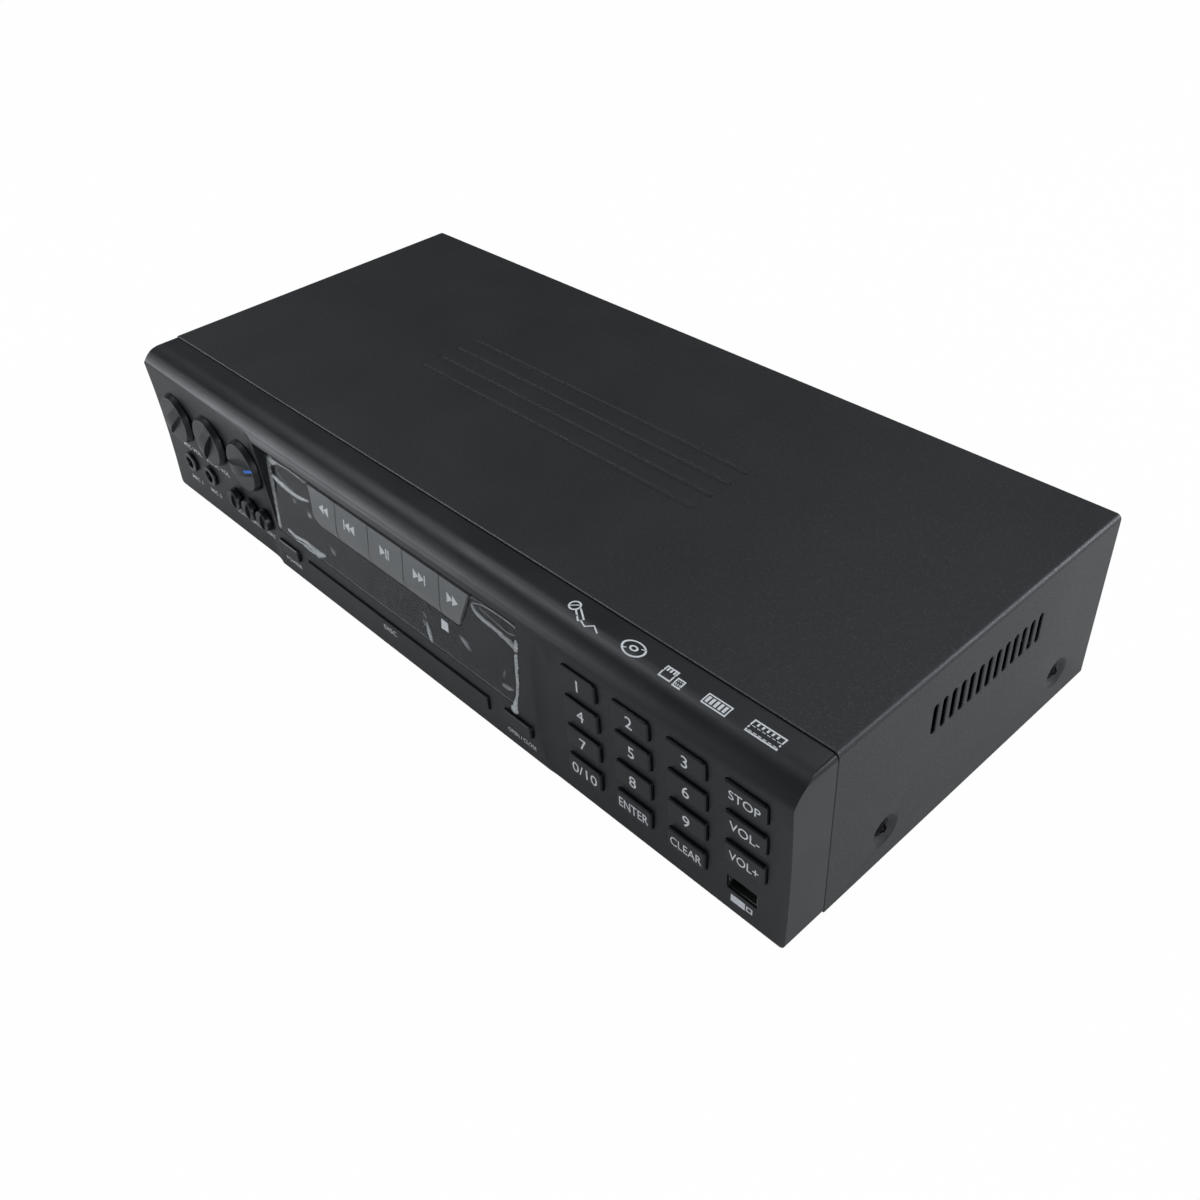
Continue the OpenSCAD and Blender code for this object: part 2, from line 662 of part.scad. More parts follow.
// Front electronics
module tact_switch(x, z) translate([x, 0, z]) {
    block([-switch_size / 2, switch_size / 2], [board_y - switch_h, board_y + eps], [-switch_size / 2, switch_size / 2]);
    rod_y(1.6, board_y - switch_h - plunger_h, board_y - switch_h + eps);
}
transport_z = bar_z + 6;
module front_board() place() {
    color([0.05, 0.3, 0.15]) along_y(board_y, board_y + board_t) difference() {
        translate([-206, 5]) square([412, 60]);
        translate([tray_x - frame_out - 4, 0]) square([2 * frame_out + 8, frame_top + 3]);
        translate([-210, 0]) square([jack_x + jack_pitch + 12 + 210, jack_z + 11]);
    }
    color([0.2, 0.2, 0.2]) {
        for (c = [0:2], r = [0:3]) tact_switch(key_x(c), key_z(r));
        for (r = [1:3]) tact_switch(key_x(3), key_z(r));
        for (i = [0:4]) tact_switch((bar_left(i) + bar_right(i)) / 2, transport_z);
        tact_switch(power_x, side_key_z);
        tact_switch(open_x, side_key_z);
    }
}
module display_module() place() color([0.75, 0.78, 0.75]) difference() {
    block([-62, 42], [board_y - 4.4, board_y], [28, 42]);
    block([-58, 38], [board_y - 5, board_y - 3.6], [30, 40]);
}
module potentiometer(size) {
    block([-size / 2, size / 2], [board_y - 6, board_y], [-size / 2, size / 2]);
    difference() {
        rod_y(3.6, dish_left + 0.3, board_y - 5.5);
        rod_y(shaft_d / 2 + running, 0, board_y - 5.9);
    }
}
module potentiometers() place() color([0.7, 0.7, 0.7]) difference() {
    for (i = [0:2]) {
        translate([knob_x - i * knob_pitch, 0, knob_z]) potentiometer(16);
        translate([small_knob_x - i * small_knob_pitch, 0, small_knob_z]) potentiometer(10);
    }
    for (i = [0:2]) {
        translate([knob_x - i * knob_pitch, 0, knob_z]) rod_y(shaft_d / 2 + running, 0, board_y - 5.9);
        translate([small_knob_x - i * small_knob_pitch, 0, small_knob_z])
            rod_y(shaft_d / 2 + running, 0, board_y - 5.9);
    }
}
jack_len = 32;
module mic_jack() difference() {
    union() {
        color([0.75, 0.75, 0.77]) {
            rod_y(4.5, 0.8, left_wall + 0.5);
            intersection() {
                rod_y(jack_ring_d / 2, 0.7, dish_at(jack_z - jack_ring_d / 2, dish_left) - 0.02);
                translate([0, 1.9, 0]) sphere(jack_ring_d / 2 + 0.2, $fn = 48);
            }
        }
        color([0.1, 0.1, 0.1]) block([-8, 8], [left_wall + 0.05, jack_len], [-7, 7]);
        for (k = [-1, 1]) color([0.8, 0.7, 0.4]) block([k * 5 - 1, k * 5 + 1], [18, 28], [-11, -6.9]);
    }
    rod_y(jack_r, -1, jack_len - 2);
}
module mic_jacks() place() for (i = [0:1]) translate([jack_x + i * jack_pitch, 0, jack_z]) mic_jack();
module usb_socket() place() translate([usb_x, 0, usb_z]) {
    color([0.75, 0.75, 0.77]) difference() {
        block([-6.6, 6.6], [1.6, board_y], [-3.05, 3.05]);
        block([-6.25, 6.25], [0, board_y - 1], [-2.7, 2.7]);
    }
    color([0.9, 0.9, 0.9]) block([-5.4, 5.4], [3.4, board_y - 0.9], [0.3, 2.1]);
}

// Boards and power supply
module chip(x, y, z, w, d, h) block([x - w / 2, x + w / 2], [y - d / 2, y + d / 2], [z - eps, z + h]);
module standoffs(points, z) for (p = points) translate([p[0], p[1], chassis_top]) cylinder(r = 3, h = z - chassis_top);
main_x = [76, 200];
main_y = [44, 106];
board_z = 8;
module main_board() place() {
    color([0.05, 0.35, 0.2]) difference() {
        block(main_x, main_y, [board_z, board_z + board_t]);
        for (x = main_x, y = main_y) translate([x + (x == main_x[0] ? 4 : -4), y + (y == main_y[0] ? 4 : -4), 0])
            cylinder(r = 1.6, h = 20);
    }
    color([0.7, 0.7, 0.72]) standoffs([for (x = [main_x[0] + 4, main_x[1] - 4],
        y = [main_y[0] + 4, main_y[1] - 4]) [x, y]], board_z);
    z = board_z + board_t;
    color([0.12, 0.12, 0.12]) {
        chip(120, 72, z, 24, 24, 2.4);
        chip(152, 64, z, 12, 20, 1.4);
        chip(152, 86, z, 14, 10, 1.8);
    }
    color([0.2, 0.2, 0.35]) for (p = [[92, 86], [104, 90], [180, 56], [180, 72], [180, 88]])
        translate([p[0], p[1], z - eps]) cylinder(r = 3.2, h = 11);
    color([0.9, 0.9, 0.85]) for (x = [110:20:150]) chip(x, 98, z, 14, 5, 6);
}
amp_x = [84, 200];
amp_y = [112, 184];
module amplifier_board() place() {
    color([0.45, 0.35, 0.2]) block(amp_x, amp_y, [board_z, board_z + board_t]);
    z = board_z + board_t;
    color([0.7, 0.7, 0.72]) standoffs([for (x = [amp_x[0] + 4, amp_x[1] - 4],
        y = [amp_y[0] + 4, amp_y[1] - 4]) [x, y]], board_z + eps);
    color([0.55, 0.56, 0.58]) {
        block([92, 152], [144, 149], [z - eps, z + 42]);
        for (i = [0:9]) block([94 + i * 6, 95.6 + i * 6], [148.9, 166], [z - eps, z + 42]);
    }
    color([0.12, 0.12, 0.12]) for (x = [106, 138]) block([x - 10, x + 10], [139.4, 144.1], [z + 4, z + 24]);
    color([0.2, 0.2, 0.35]) for (p = [[172, 128], [190, 128], [172, 150], [190, 150]])
        translate([p[0], p[1], z - eps]) cylinder(r = 8, h = 30);
}
module transformer() place() translate([-164, 128, chassis_top]) {
    color([0.35, 0.36, 0.38]) difference() {
        block([-core_w / 2, core_w / 2], [-14, 14], [2, 2 + core_h]);
        for (s = [-1, 1]) block([s * core_w / 4 - core_w / 12, s * core_w / 4 + core_w / 12], [-20, 20],
            [2 + core_h / 6, 2 + core_h * 5 / 6]);
    }
    color([0.85, 0.75, 0.35]) difference() {
        block([-core_w / 3 + 0.4, core_w / 3 - 0.4], [-25, 25], [2.4 + core_h / 6, 1.6 + core_h * 5 / 6]);
        block([-core_w / 6 - 0.1, core_w / 6 + 0.1], [-14.1, 14.1], [0, core_h + 9]);
        for (s = [-1, 1]) block([s * core_w / 3 - core_w / 12 + 0.4, s * core_w / 3 + core_w / 12 + 0.4],
            [-14.1, 14.1], [0, 1.9]);
    }
    color([0.7, 0.7, 0.72]) difference() {
        block([-core_w / 2 - 10, core_w / 2 + 10], [-9, 9], [0, 1.9]);
        for (s = [-1, 1]) translate([s * (core_w / 2 + 5), 0, -1]) cylinder(r = 2.2, h = 5);
    }
}
module mains_inlet() place() translate([inlet_x, 0, inlet_z]) color([0.1, 0.1, 0.1]) difference() {
    union() {
        along_y(back_y - 16, back_y + 0.5) rounded(21, 13, 1);
        along_y(back_y + 0.02, back_y + 1.6) rounded(26, 17, 2);
    }
    along_y(back_y - 10, back_y + 5) difference() {
        union() {
            for (s = [-1, 1]) translate([s * 4, 0]) circle(4);
            square([8, 8], center = true);
        }
        for (s = [-1, 1]) translate([s * 4.2, 0]) circle(1.2);
    }
    for (s = [-1, 1]) translate([s * 4.2, 0, 0]) rod_y(3, back_y - 1, back_y + 5);
}
module phono_sockets() place() translate([phono_x, 0, phono_z]) {
    for (i = [0:3], k = [0:1]) translate([i * phono_pitch, 0, (k - 0.5) * phono_pitch]) difference() {
        union() {
            rod_y(phono_r, back_y - 3, back_y + socket_reach);
            rod_y(phono_r + 1.6, back_y + 0.02, back_y + 1.4);
        }
        rod_y(1.65, back_y - 1, back_y + socket_reach + 1);
    }
    block([-9, 3 * phono_pitch + 9], [back_y - 12, back_y - sheet - 0.02], [-16, 16]);
}
// Four clips side by side, each a block of its own snapped into the rear plate
module speaker_terminals() place() translate([terminal_x - 28, 0, terminal_z]) for (i = [0:3]) {
    x0 = i == 0 ? -3 : 14 * i + 0.1;
    x1 = i == 3 ? 59 : 14 * i + 13.9;
    color([0.1, 0.1, 0.1]) difference() {
        union() {
            block([14 * i + 0.1, 14 * i + 13.9], [back_y - 12, back_y + 0.5], [-11, 11]);
            block([x0, x1], [back_y + 0.02, back_y + 2], [-13.5, 13.5]);
        }
        translate([14 * i + 7, 0, -6]) rod_y(2.2, back_y - 6, back_y + 4);
    }
    color(i % 2 == 0 ? [0.7, 0.1, 0.1] : [0.05, 0.05, 0.05])
        block([14 * i + 2.5, 14 * i + 11.5], [back_y + 1.95, back_y + 5], [1, 9]);
}

// Disc loader
// Involute gear outline with one tooth centred on +X
function involute(base, r, a) = let (t = sqrt(pow(max(r / base, 1), 2) - 1), roll = t * 180 / PI - atan(t))
    [r * cos(a - roll), r * sin(a - roll)];
module gear_outline(teeth, play) {
    pitch_r = gear_module * teeth / 2;
    base = pitch_r * cos(20);
    tip = pitch_r + 0.8 * gear_module;
    root = pitch_r - 1.05 * gear_module;
    roll_at_pitch = tan(20) * 180 / PI - 20;
    half = 90 / teeth - play / pitch_r * 90 / PI + roll_at_pitch;
    start = max(base, root);
    flank = [for (i = [0:4]) involute(base, start + (tip - start) * i / 4, half)];
    circle(root + 0.01, $fn = 96);
    for (k = [0:teeth - 1]) rotate(k * 360 / teeth) polygon(concat(
        [[0, 0], [root * cos(half), -root * sin(half)]],
        [for (p = flank) [p[0], -p[1]]],
        [for (i = [4:-1:0]) flank[i]],
        [[root * cos(half), root * sin(half)]]));
}
module loader_frame() place() color([0.55, 0.56, 0.58]) difference() {
    union() {
        for (s = [-1, 1]) translate([tray_x, 0, 0]) {
            block(s * frame_out > 0 ? [frame_in, frame_out] : [-frame_out, -frame_in], [frame_y0, frame_y1],
                [frame_z0, frame_top]);
            for (z = [[rail_z0 - 1.5, rail_z0 - 0.1], [rail_z1 + 0.1, rail_z1 + 1.5]])
                block(s > 0 ? [tray_w / 2 + 0.7, frame_in + 0.1] : [-frame_in - 0.1, -tray_w / 2 - 0.7],
                    [frame_y0, frame_y1 - 6], z);
        }
        block([tray_x - frame_out, tray_x + frame_out], [frame_y0, loader_hole_y0], [frame_z0, frame_floor]);
        block([tray_x - frame_out, tray_x + frame_out], [frame_y1 - 12, frame_y1], [frame_z0, frame_floor]);
        block([tray_x - frame_out, tray_x + frame_out], [frame_y1 - 2.5, frame_y1], [frame_z0, frame_top]);
        for (s = [-1, 1]) translate([tray_x, 0, 0]) {
            block(s > 0 ? [36, frame_out] : [-frame_out, -36], [loader_hole_y0 - 1, frame_y1 - 11],
                [frame_z0, frame_floor]);
            block(s > 0 ? [36, 39] : [-39, -36], [pivot_y - 5, pivot_y + 5], [frame_z0, pivot_z + 4]);
        }
        block([tray_x + frame_out - 1, motor_x + 13], [drive_y - 13, drive_y + 13], [frame_z0, frame_floor]);
        for (x = [drive_x, pulley_x]) {
            translate([x, drive_y, frame_z0]) cylinder(r = post_r, h = teeth_z1 - frame_z0);
            translate([x, drive_y, frame_z0]) cylinder(r = post_r + 2,
                h = (x == drive_x ? teeth_z0 : belt_z0) - 0.25 - frame_z0);
        }
        for (a = [45, 135, 225, 315]) translate([motor_x + 12 * cos(a), drive_y + 12 * sin(a), frame_z0])
            cylinder(r = 2.2, h = belt_z1 + 1.2 - frame_z0);
    }
    block([tray_x + frame_in - 5, tray_x + frame_out + 1], [drive_y - 10, drive_y + 10],
        [frame_floor, belt_z1 + 1]);
    for (s = [-1, 1]) translate([tray_x + s * 37.5, pivot_y, pivot_z]) rotate([0, 90, 0])
        cylinder(r = pivot_r + running, h = 10, center = true);
}
module disc_tray() place() color([0.2, 0.2, 0.21]) difference() {
    union() {
        block([tray_x - tray_w / 2, tray_x + tray_w / 2], [tray_y0, tray_y1], [tray_bottom, tray_top]);
        block([tray_x - tray_w / 2 - rail_w, tray_x + tray_w / 2 + rail_w], [tray_y0 + 14, tray_y1],
            [rail_z0, rail_z1]);
        translate([rack_x, drive_y, rack_z0]) linear_extrude(tray_bottom - rack_z0 + 0.1) {
            rack_back = 1.05 * gear_module;
            translate([rack_back, -gear_pitch * 1.5]) square([4, gear_pitch * rack_teeth]);
            for (k = [0:rack_teeth - 1]) translate([0, (k - 0.5) * gear_pitch]) polygon([
                [rack_back + 0.1, -gear_pitch / 4 + backlash / 2 - rack_back * tan(20)],
                [-0.8 * gear_module, -gear_pitch / 4 + backlash / 2 + 0.8 * gear_module * tan(20)],
                [-0.8 * gear_module, gear_pitch / 4 - backlash / 2 - 0.8 * gear_module * tan(20)],
                [rack_back + 0.1, gear_pitch / 4 - backlash / 2 + rack_back * tan(20)]]);
        }
    }
    translate([tray_x, disc_y, tray_floor]) cylinder(d = recess_d, h = 10, $fn = 120);
    translate([tray_x, disc_y, tray_floor - 0.7]) cylinder(d = 81.4, h = 10, $fn = 96);
    translate([tray_x, disc_y, 0]) cylinder(r = 19, h = 30, $fn = 64);
    block([tray_x - 19, tray_x + 19], [disc_y, disc_y + 70], [0, 30]);
    block([tray_x - 19, tray_x + 19], [disc_y, tray_y1 + 1], [0, tray_top - 2.2]);
    for (s = [-1, 1]) translate([tray_x + s * recess_d / 2, disc_y, tray_floor]) cylinder(r = 7, h = 10);
}
module tray_door() place() color([0.16, 0.165, 0.175]) union() {
    along_y(-door_proud, door_back - 0.02) translate([tray_x, door_z + door_h / 2])
        rounded(door_w, door_h, 0.6);
    for (s = [-1, 1]) translate([tray_x + s * 40, 0, 0])
        block([-6, 6], [door_back - 0.5, door_back + 6], [tray_bottom - 1.7, tray_bottom - 0.02]);
}
module drive_gear() place() color([0.9, 0.88, 0.8]) translate([drive_x, drive_y, teeth_z0]) difference() {
    linear_extrude(teeth_z1 - teeth_z0) difference() {
        gear_outline(drive_teeth, backlash);
        circle(post_r + running);
    }
    for (a = [30:60:330]) rotate(a) translate([7.8, 0, -1]) cylinder(r = 2.2, h = 10);
}
module pulley_profile(r, w) {
    polygon([[0, 0], [r, 0], [r, 0.3], [r - 0.6, 0.5], [r - 0.6, w - 0.5], [r, w - 0.3], [r, w], [0, w]]);
}
module pulley_gear() place() color([0.85, 0.85, 0.88]) translate([pulley_x, drive_y, 0]) difference() {
    union() {
        translate([0, 0, belt_z0]) rotate_extrude($fn = 96) pulley_profile(pulley_r + 0.6, belt_z1 - belt_z0);
        translate([0, 0, belt_z1 - 0.01]) cylinder(r = pinion_r - 2.4, h = teeth_z0 - belt_z1 + 0.02);
        translate([0, 0, teeth_z0]) linear_extrude(teeth_z1 - teeth_z0) rotate(180 / pinion_teeth)
            gear_outline(pinion_teeth, backlash);
    }
    translate([0, 0, -1]) cylinder(r = post_r + running, h = 40);
}
module motor_pulley() place() color([0.8, 0.75, 0.5]) translate([motor_x, drive_y, 0]) {
    translate([0, 0, belt_z0]) rotate_extrude($fn = 64)
        pulley_profile(motor_pulley_r + 0.6, belt_z1 - belt_z0);
    translate([0, 0, belt_z1 - 0.01]) cylinder(r = 1, h = 5);
}
// The belt's straight runs leave both pulleys at this angle
belt_span = motor_x - pulley_x;
belt_angle = acos((pulley_r - motor_pulley_r) / belt_span);
// Loop round both pulleys, at a distance from their grooves
function belt_loop(out) = concat(
    [for (i = [0:14]) let (a = belt_angle + (360 - 2 * belt_angle) * i / 14) (pulley_r + out) * [cos(a), sin(a)]],
    [for (i = [0:8]) let (a = belt_angle * (i / 4 - 1))
        [belt_span + (motor_pulley_r + out) * cos(a), (motor_pulley_r + out) * sin(a)]]);
module drive_belt() place() color([0.05, 0.05, 0.05]) translate([pulley_x, drive_y, belt_z0 + 0.6])
    linear_extrude(belt_z1 - belt_z0 - 1.2) difference() {
        polygon(belt_loop(belt_w));
        polygon(belt_loop(0.2));
    }
module loading_motor() place() color([0.7, 0.7, 0.72]) translate([motor_x, drive_y, belt_z1 + 1.2]) difference() {
    union() {
        cylinder(r = 10, h = 15, $fn = 64);
        for (a = [45, 135, 225, 315]) rotate(a) translate([12, 0, 0]) cylinder(r = 3, h = 1.2);
        for (a = [0, 90]) rotate(a + 45) translate([-12, -3, 0]) cube([24, 6, 1.2]);
        translate([0, 0, 14.9]) cylinder(r = 3, h = 1.6);
    }
    translate([0, 0, -1]) cylinder(r = 1 + running, h = 6);
}
module clamp_bridge() place() color([0.65, 0.66, 0.68]) difference() {
    union() {
        block([tray_x - frame_out, tray_x + frame_out], [disc_y - 15, disc_y + 15], [bridge_z0, bridge_z1]);
        translate([tray_x, disc_y, bridge_z0]) cylinder(r = puck_r + 5, h = bridge_z1 - bridge_z0, $fn = 64);
        for (s = [-1, 1]) block([tray_x - frame_out, tray_x + frame_out], [disc_y + s * 14 - 1, disc_y + s * 14 + 1],
            [bridge_z1 - 0.1, bridge_z1 + 2.5]);
    }
    translate([tray_x, disc_y, 0]) cylinder(r = puck_r - 1.5, h = 60, $fn = 64);
    translate([tray_x, disc_y, bridge_z1]) cylinder(r = puck_r + 2, h = 10, $fn = 64);
}
module clamp_puck() place() color([0.2, 0.2, 0.22]) translate([tray_x, disc_y, 0]) rotate_extrude($fn = 64)
    polygon([[0, puck_z + 2.5], [8.2, puck_z + 2.5], [8.2, puck_z], [puck_r - 2, puck_z],
        [puck_r - 2, bridge_z1 + 0.02], [puck_r + 1, bridge_z1 + 0.02], [puck_r + 1, bridge_z1 + 1.6],
        [6, bridge_z1 + 1.6], [6, bridge_z1 + 3], [0, bridge_z1 + 3]]);
// The traverse frame and what it carries are drawn as they lie with a disc clamped, then let down
module let_down() translate([0, pivot_y, pivot_z]) rotate([traverse_tilt, 0, 0])
    translate([0, -pivot_y, -pivot_z]) children();
module traverse_frame() place() let_down() color([0.6, 0.61, 0.63]) translate([tray_x, 0, 0]) {
    difference() {
        union() {
            block([-30, 30], [54, pivot_y + 6], [deck_z0, deck_z1]);
            for (s = [-1, 1]) {
                block(s > 0 ? [28.4, 30] : [-30, -28.4], [54, pivot_y + 6], [deck_z0 - 1.6, deck_z0 + 0.1]);
                block(s > 0 ? [27, 30] : [-30, -27], [pivot_y - 4, pivot_y + 4], [pivot_z - 2.5, deck_z0 + 0.1]);
                for (y = [sled_y - 18, sled_y + sled_travel + 15])
                    block([s * rod_x - 3, s * rod_x + 3], [y - 1.5, y + 1.5], [rod_z - 1.9, deck_z0 + 0.1]);
                translate([s * 31, pivot_y, pivot_z]) rotate([0, 90, 0])
                    cylinder(r = pivot_r, h = 14.6, center = true);
                translate([s * rod_x, 0, rod_z]) rod_y(rod_r, sled_y - 19.4, sled_y + sled_travel + 16.4);
            }
            translate([0, disc_y, deck_z0 - 1.6]) cylinder(r = 13, h = 1.6 + flange_z - 2.1 - deck_z0, $fn = 64);
        }
        translate([0, disc_y, 0]) cylinder(r = 1.5 + running, h = 40);
        difference() {
            block([-25, 25], [sled_y - 14.5, sled_y + sled_travel + 13], [0, 40]);
            for (s = [-1, 1]) translate([s * rod_x, 0, rod_z]) rod_y(rod_r, 60, 150);
        }
    }
}
module turntable() place() let_down() color([0.15, 0.15, 0.16]) translate([tray_x, disc_y, 0]) {
    rotate_extrude($fn = 64) polygon([[0, deck_z0], [1.5, deck_z0], [1.5, flange_z - 1.6], [14, flange_z - 1.6],
        [14, flange_z], [7.35, flange_z], [6.6, flange_z + boss_h], [0, flange_z + boss_h]]);
}
module pickup_sled() place() let_down() color([0.25, 0.25, 0.27]) translate([tray_x, sled_y, 0]) {
    difference() {
        union() {
            block([-17, 17], [-12, 12], [rod_z - 2, rod_z + 3.6]);
            for (s = [-1, 1]) block(s > 0 ? [16, 23.6] : [-23.6, -16], [-12, 12], [rod_z - 2.4, rod_z + 2.6]);
            block([-8, 8], [-8, 8], [rod_z + 3.5, tray_floor - 0.8]);
            translate([0, 0, tray_floor - 0.9]) cylinder(r = 3, h = 0.7);
        }
        for (s = [-1, 1]) translate([s * rod_x, 0, rod_z]) rod_y(rod_r + running, -20, 20);
    }
}

front_panel();
top_cover();
chassis();
rear_panel();
feet();
cover_screws();
display_window();
window_film();
tray_door();
keypad_key(0, 3);  // key_1
keypad_key(1, 3);  // key_2
keypad_key(2, 3);  // key_3
keypad_key(0, 2);  // key_4
keypad_key(1, 2);  // key_5
keypad_key(2, 2);  // key_6
keypad_key(0, 1);  // key_7
keypad_key(1, 1);  // key_8
keypad_key(2, 1);  // key_9
keypad_key(0, 0);  // key_0
keypad_key(1, 0);  // enter_key
keypad_key(2, 0);  // clear_key
keypad_key(3, 3);  // stop_key
keypad_key(3, 2);  // volume_down_key
keypad_key(3, 1);  // volume_up_key
transport_key(0);  // rewind_key
transport_key(1);  // previous_key
transport_key(2);  // play_key
transport_key(3);  // next_key
transport_key(4);  // forward_key
side_key(power_x);  // power_key
side_key(open_x);  // open_close_key
large_knob(2, mic_rest);  // mic_volume_knob
large_knob(1, music_rest);  // music_volume_knob
large_knob(0, master_rest);  // master_volume_knob
small_knob(2, 90);  // echo_knob
small_knob(1, 90);  // bass_knob
small_knob(0, 90);  // treble_knob
mic_jacks();
usb_socket();
front_board();
potentiometers();
display_module();
main_board();
amplifier_board();
transformer();
mains_inlet();
phono_sockets();
speaker_terminals();
loader_frame();
disc_tray();
drive_gear();
pulley_gear();
drive_belt();
motor_pulley();
loading_motor();
clamp_bridge();
clamp_puck();
traverse_frame();
turntable();
pickup_sled();
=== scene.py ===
"""Looks of the karaoke machine with disc tray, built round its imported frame.

Shapes are made in the machine's own millimetres: X to the right, Y = 0 on the flat middle of the front and
running to the back, Z = 0 under the housing. TO_FRAME brings them to the frame's metres.
"""

import json
import math

import bmesh
import bpy
from mathutils import Matrix, Vector, noise
from mathutils.bvhtree import BVHTree


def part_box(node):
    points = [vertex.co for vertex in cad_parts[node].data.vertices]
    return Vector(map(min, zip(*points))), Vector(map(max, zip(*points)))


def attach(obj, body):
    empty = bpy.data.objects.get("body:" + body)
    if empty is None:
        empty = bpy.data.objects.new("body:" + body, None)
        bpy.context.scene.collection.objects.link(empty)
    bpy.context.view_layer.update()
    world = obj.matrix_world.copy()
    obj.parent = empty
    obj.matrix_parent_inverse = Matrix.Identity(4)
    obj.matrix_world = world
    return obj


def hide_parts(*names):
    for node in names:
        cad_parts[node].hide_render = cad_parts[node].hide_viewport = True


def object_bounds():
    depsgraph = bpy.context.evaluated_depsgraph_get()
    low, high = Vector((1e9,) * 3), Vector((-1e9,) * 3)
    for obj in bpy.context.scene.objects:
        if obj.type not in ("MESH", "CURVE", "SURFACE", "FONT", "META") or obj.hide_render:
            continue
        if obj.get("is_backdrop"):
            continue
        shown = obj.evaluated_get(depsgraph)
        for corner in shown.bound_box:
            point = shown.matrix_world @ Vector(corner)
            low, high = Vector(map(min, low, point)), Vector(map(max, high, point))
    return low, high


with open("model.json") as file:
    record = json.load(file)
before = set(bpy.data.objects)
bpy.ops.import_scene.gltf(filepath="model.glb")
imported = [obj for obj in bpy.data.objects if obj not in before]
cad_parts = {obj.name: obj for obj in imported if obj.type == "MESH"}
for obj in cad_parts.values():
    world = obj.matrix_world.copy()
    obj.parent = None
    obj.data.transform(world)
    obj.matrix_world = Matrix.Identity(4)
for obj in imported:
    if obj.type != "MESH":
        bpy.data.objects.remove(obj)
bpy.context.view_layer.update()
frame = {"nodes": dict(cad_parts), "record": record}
MM = 0.001
# Corners closer together than this are one corner
MERGE = 0.002
# Half the thickness of printed ink
INK_HALF = 0.012
PANEL_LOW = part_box("front_panel")[0]
TO_FRAME = Matrix.Translation((0, PANEL_LOW.y, PANEL_LOW.z)) @ Matrix.Scale(MM, 4)
TO_MACHINE = TO_FRAME.inverted()


def box_mm(node):
    """Lowest and highest corner of a CAD node, in machine millimetres."""
    low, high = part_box(node)
    return TO_MACHINE @ low, TO_MACHINE @ high


def placed(name, data):
    """A new object in the scene."""
    made = bpy.data.objects.new(name, data)
    bpy.context.scene.collection.objects.link(made)
    return made


# Finishes


class Wire:
    """A value in a finish's node tree, written in sums like a number."""

    def __init__(self, finish, socket):
        self.finish = finish
        self.socket = socket

    def math(self, operation, *values):
        return self.finish.add("ShaderNodeMath", {"operation": operation}, dict(enumerate(values)))

    def __add__(self, other):
        return self.math("ADD", self, other)

    def __radd__(self, other):
        return self.math("ADD", other, self)

    def __sub__(self, other):
        return self.math("SUBTRACT", self, other)

    def __rsub__(self, other):
        return self.math("SUBTRACT", other, self)

    def __mul__(self, other):
        return self.math("MULTIPLY", self, other)

    def __rmul__(self, other):
        return self.math("MULTIPLY", other, self)

    def over(self, limit):
        return self.math("GREATER_THAN", self, limit)

    def under(self, limit):
        return self.math("LESS_THAN", self, limit)

    def least(self, other):
        return self.math("MINIMUM", self, other)

    def most(self, other):
        return self.math("MAXIMUM", self, other)

    def size(self):
        return self.math("ABSOLUTE", self)

    def wave(self):
        return self.math("SINE", self)

    def rest_of(self, step):
        return self.math("WRAP", self, step, 0)

    def eased(self, low, high):
        """0 below low, 1 above high and smooth between."""
        inputs = {0: self, 1: low, 2: high, 3: 0.0, 4: 1.0}
        return self.finish.add("ShaderNodeMapRange", {"interpolation_type": "SMOOTHSTEP"}, inputs)


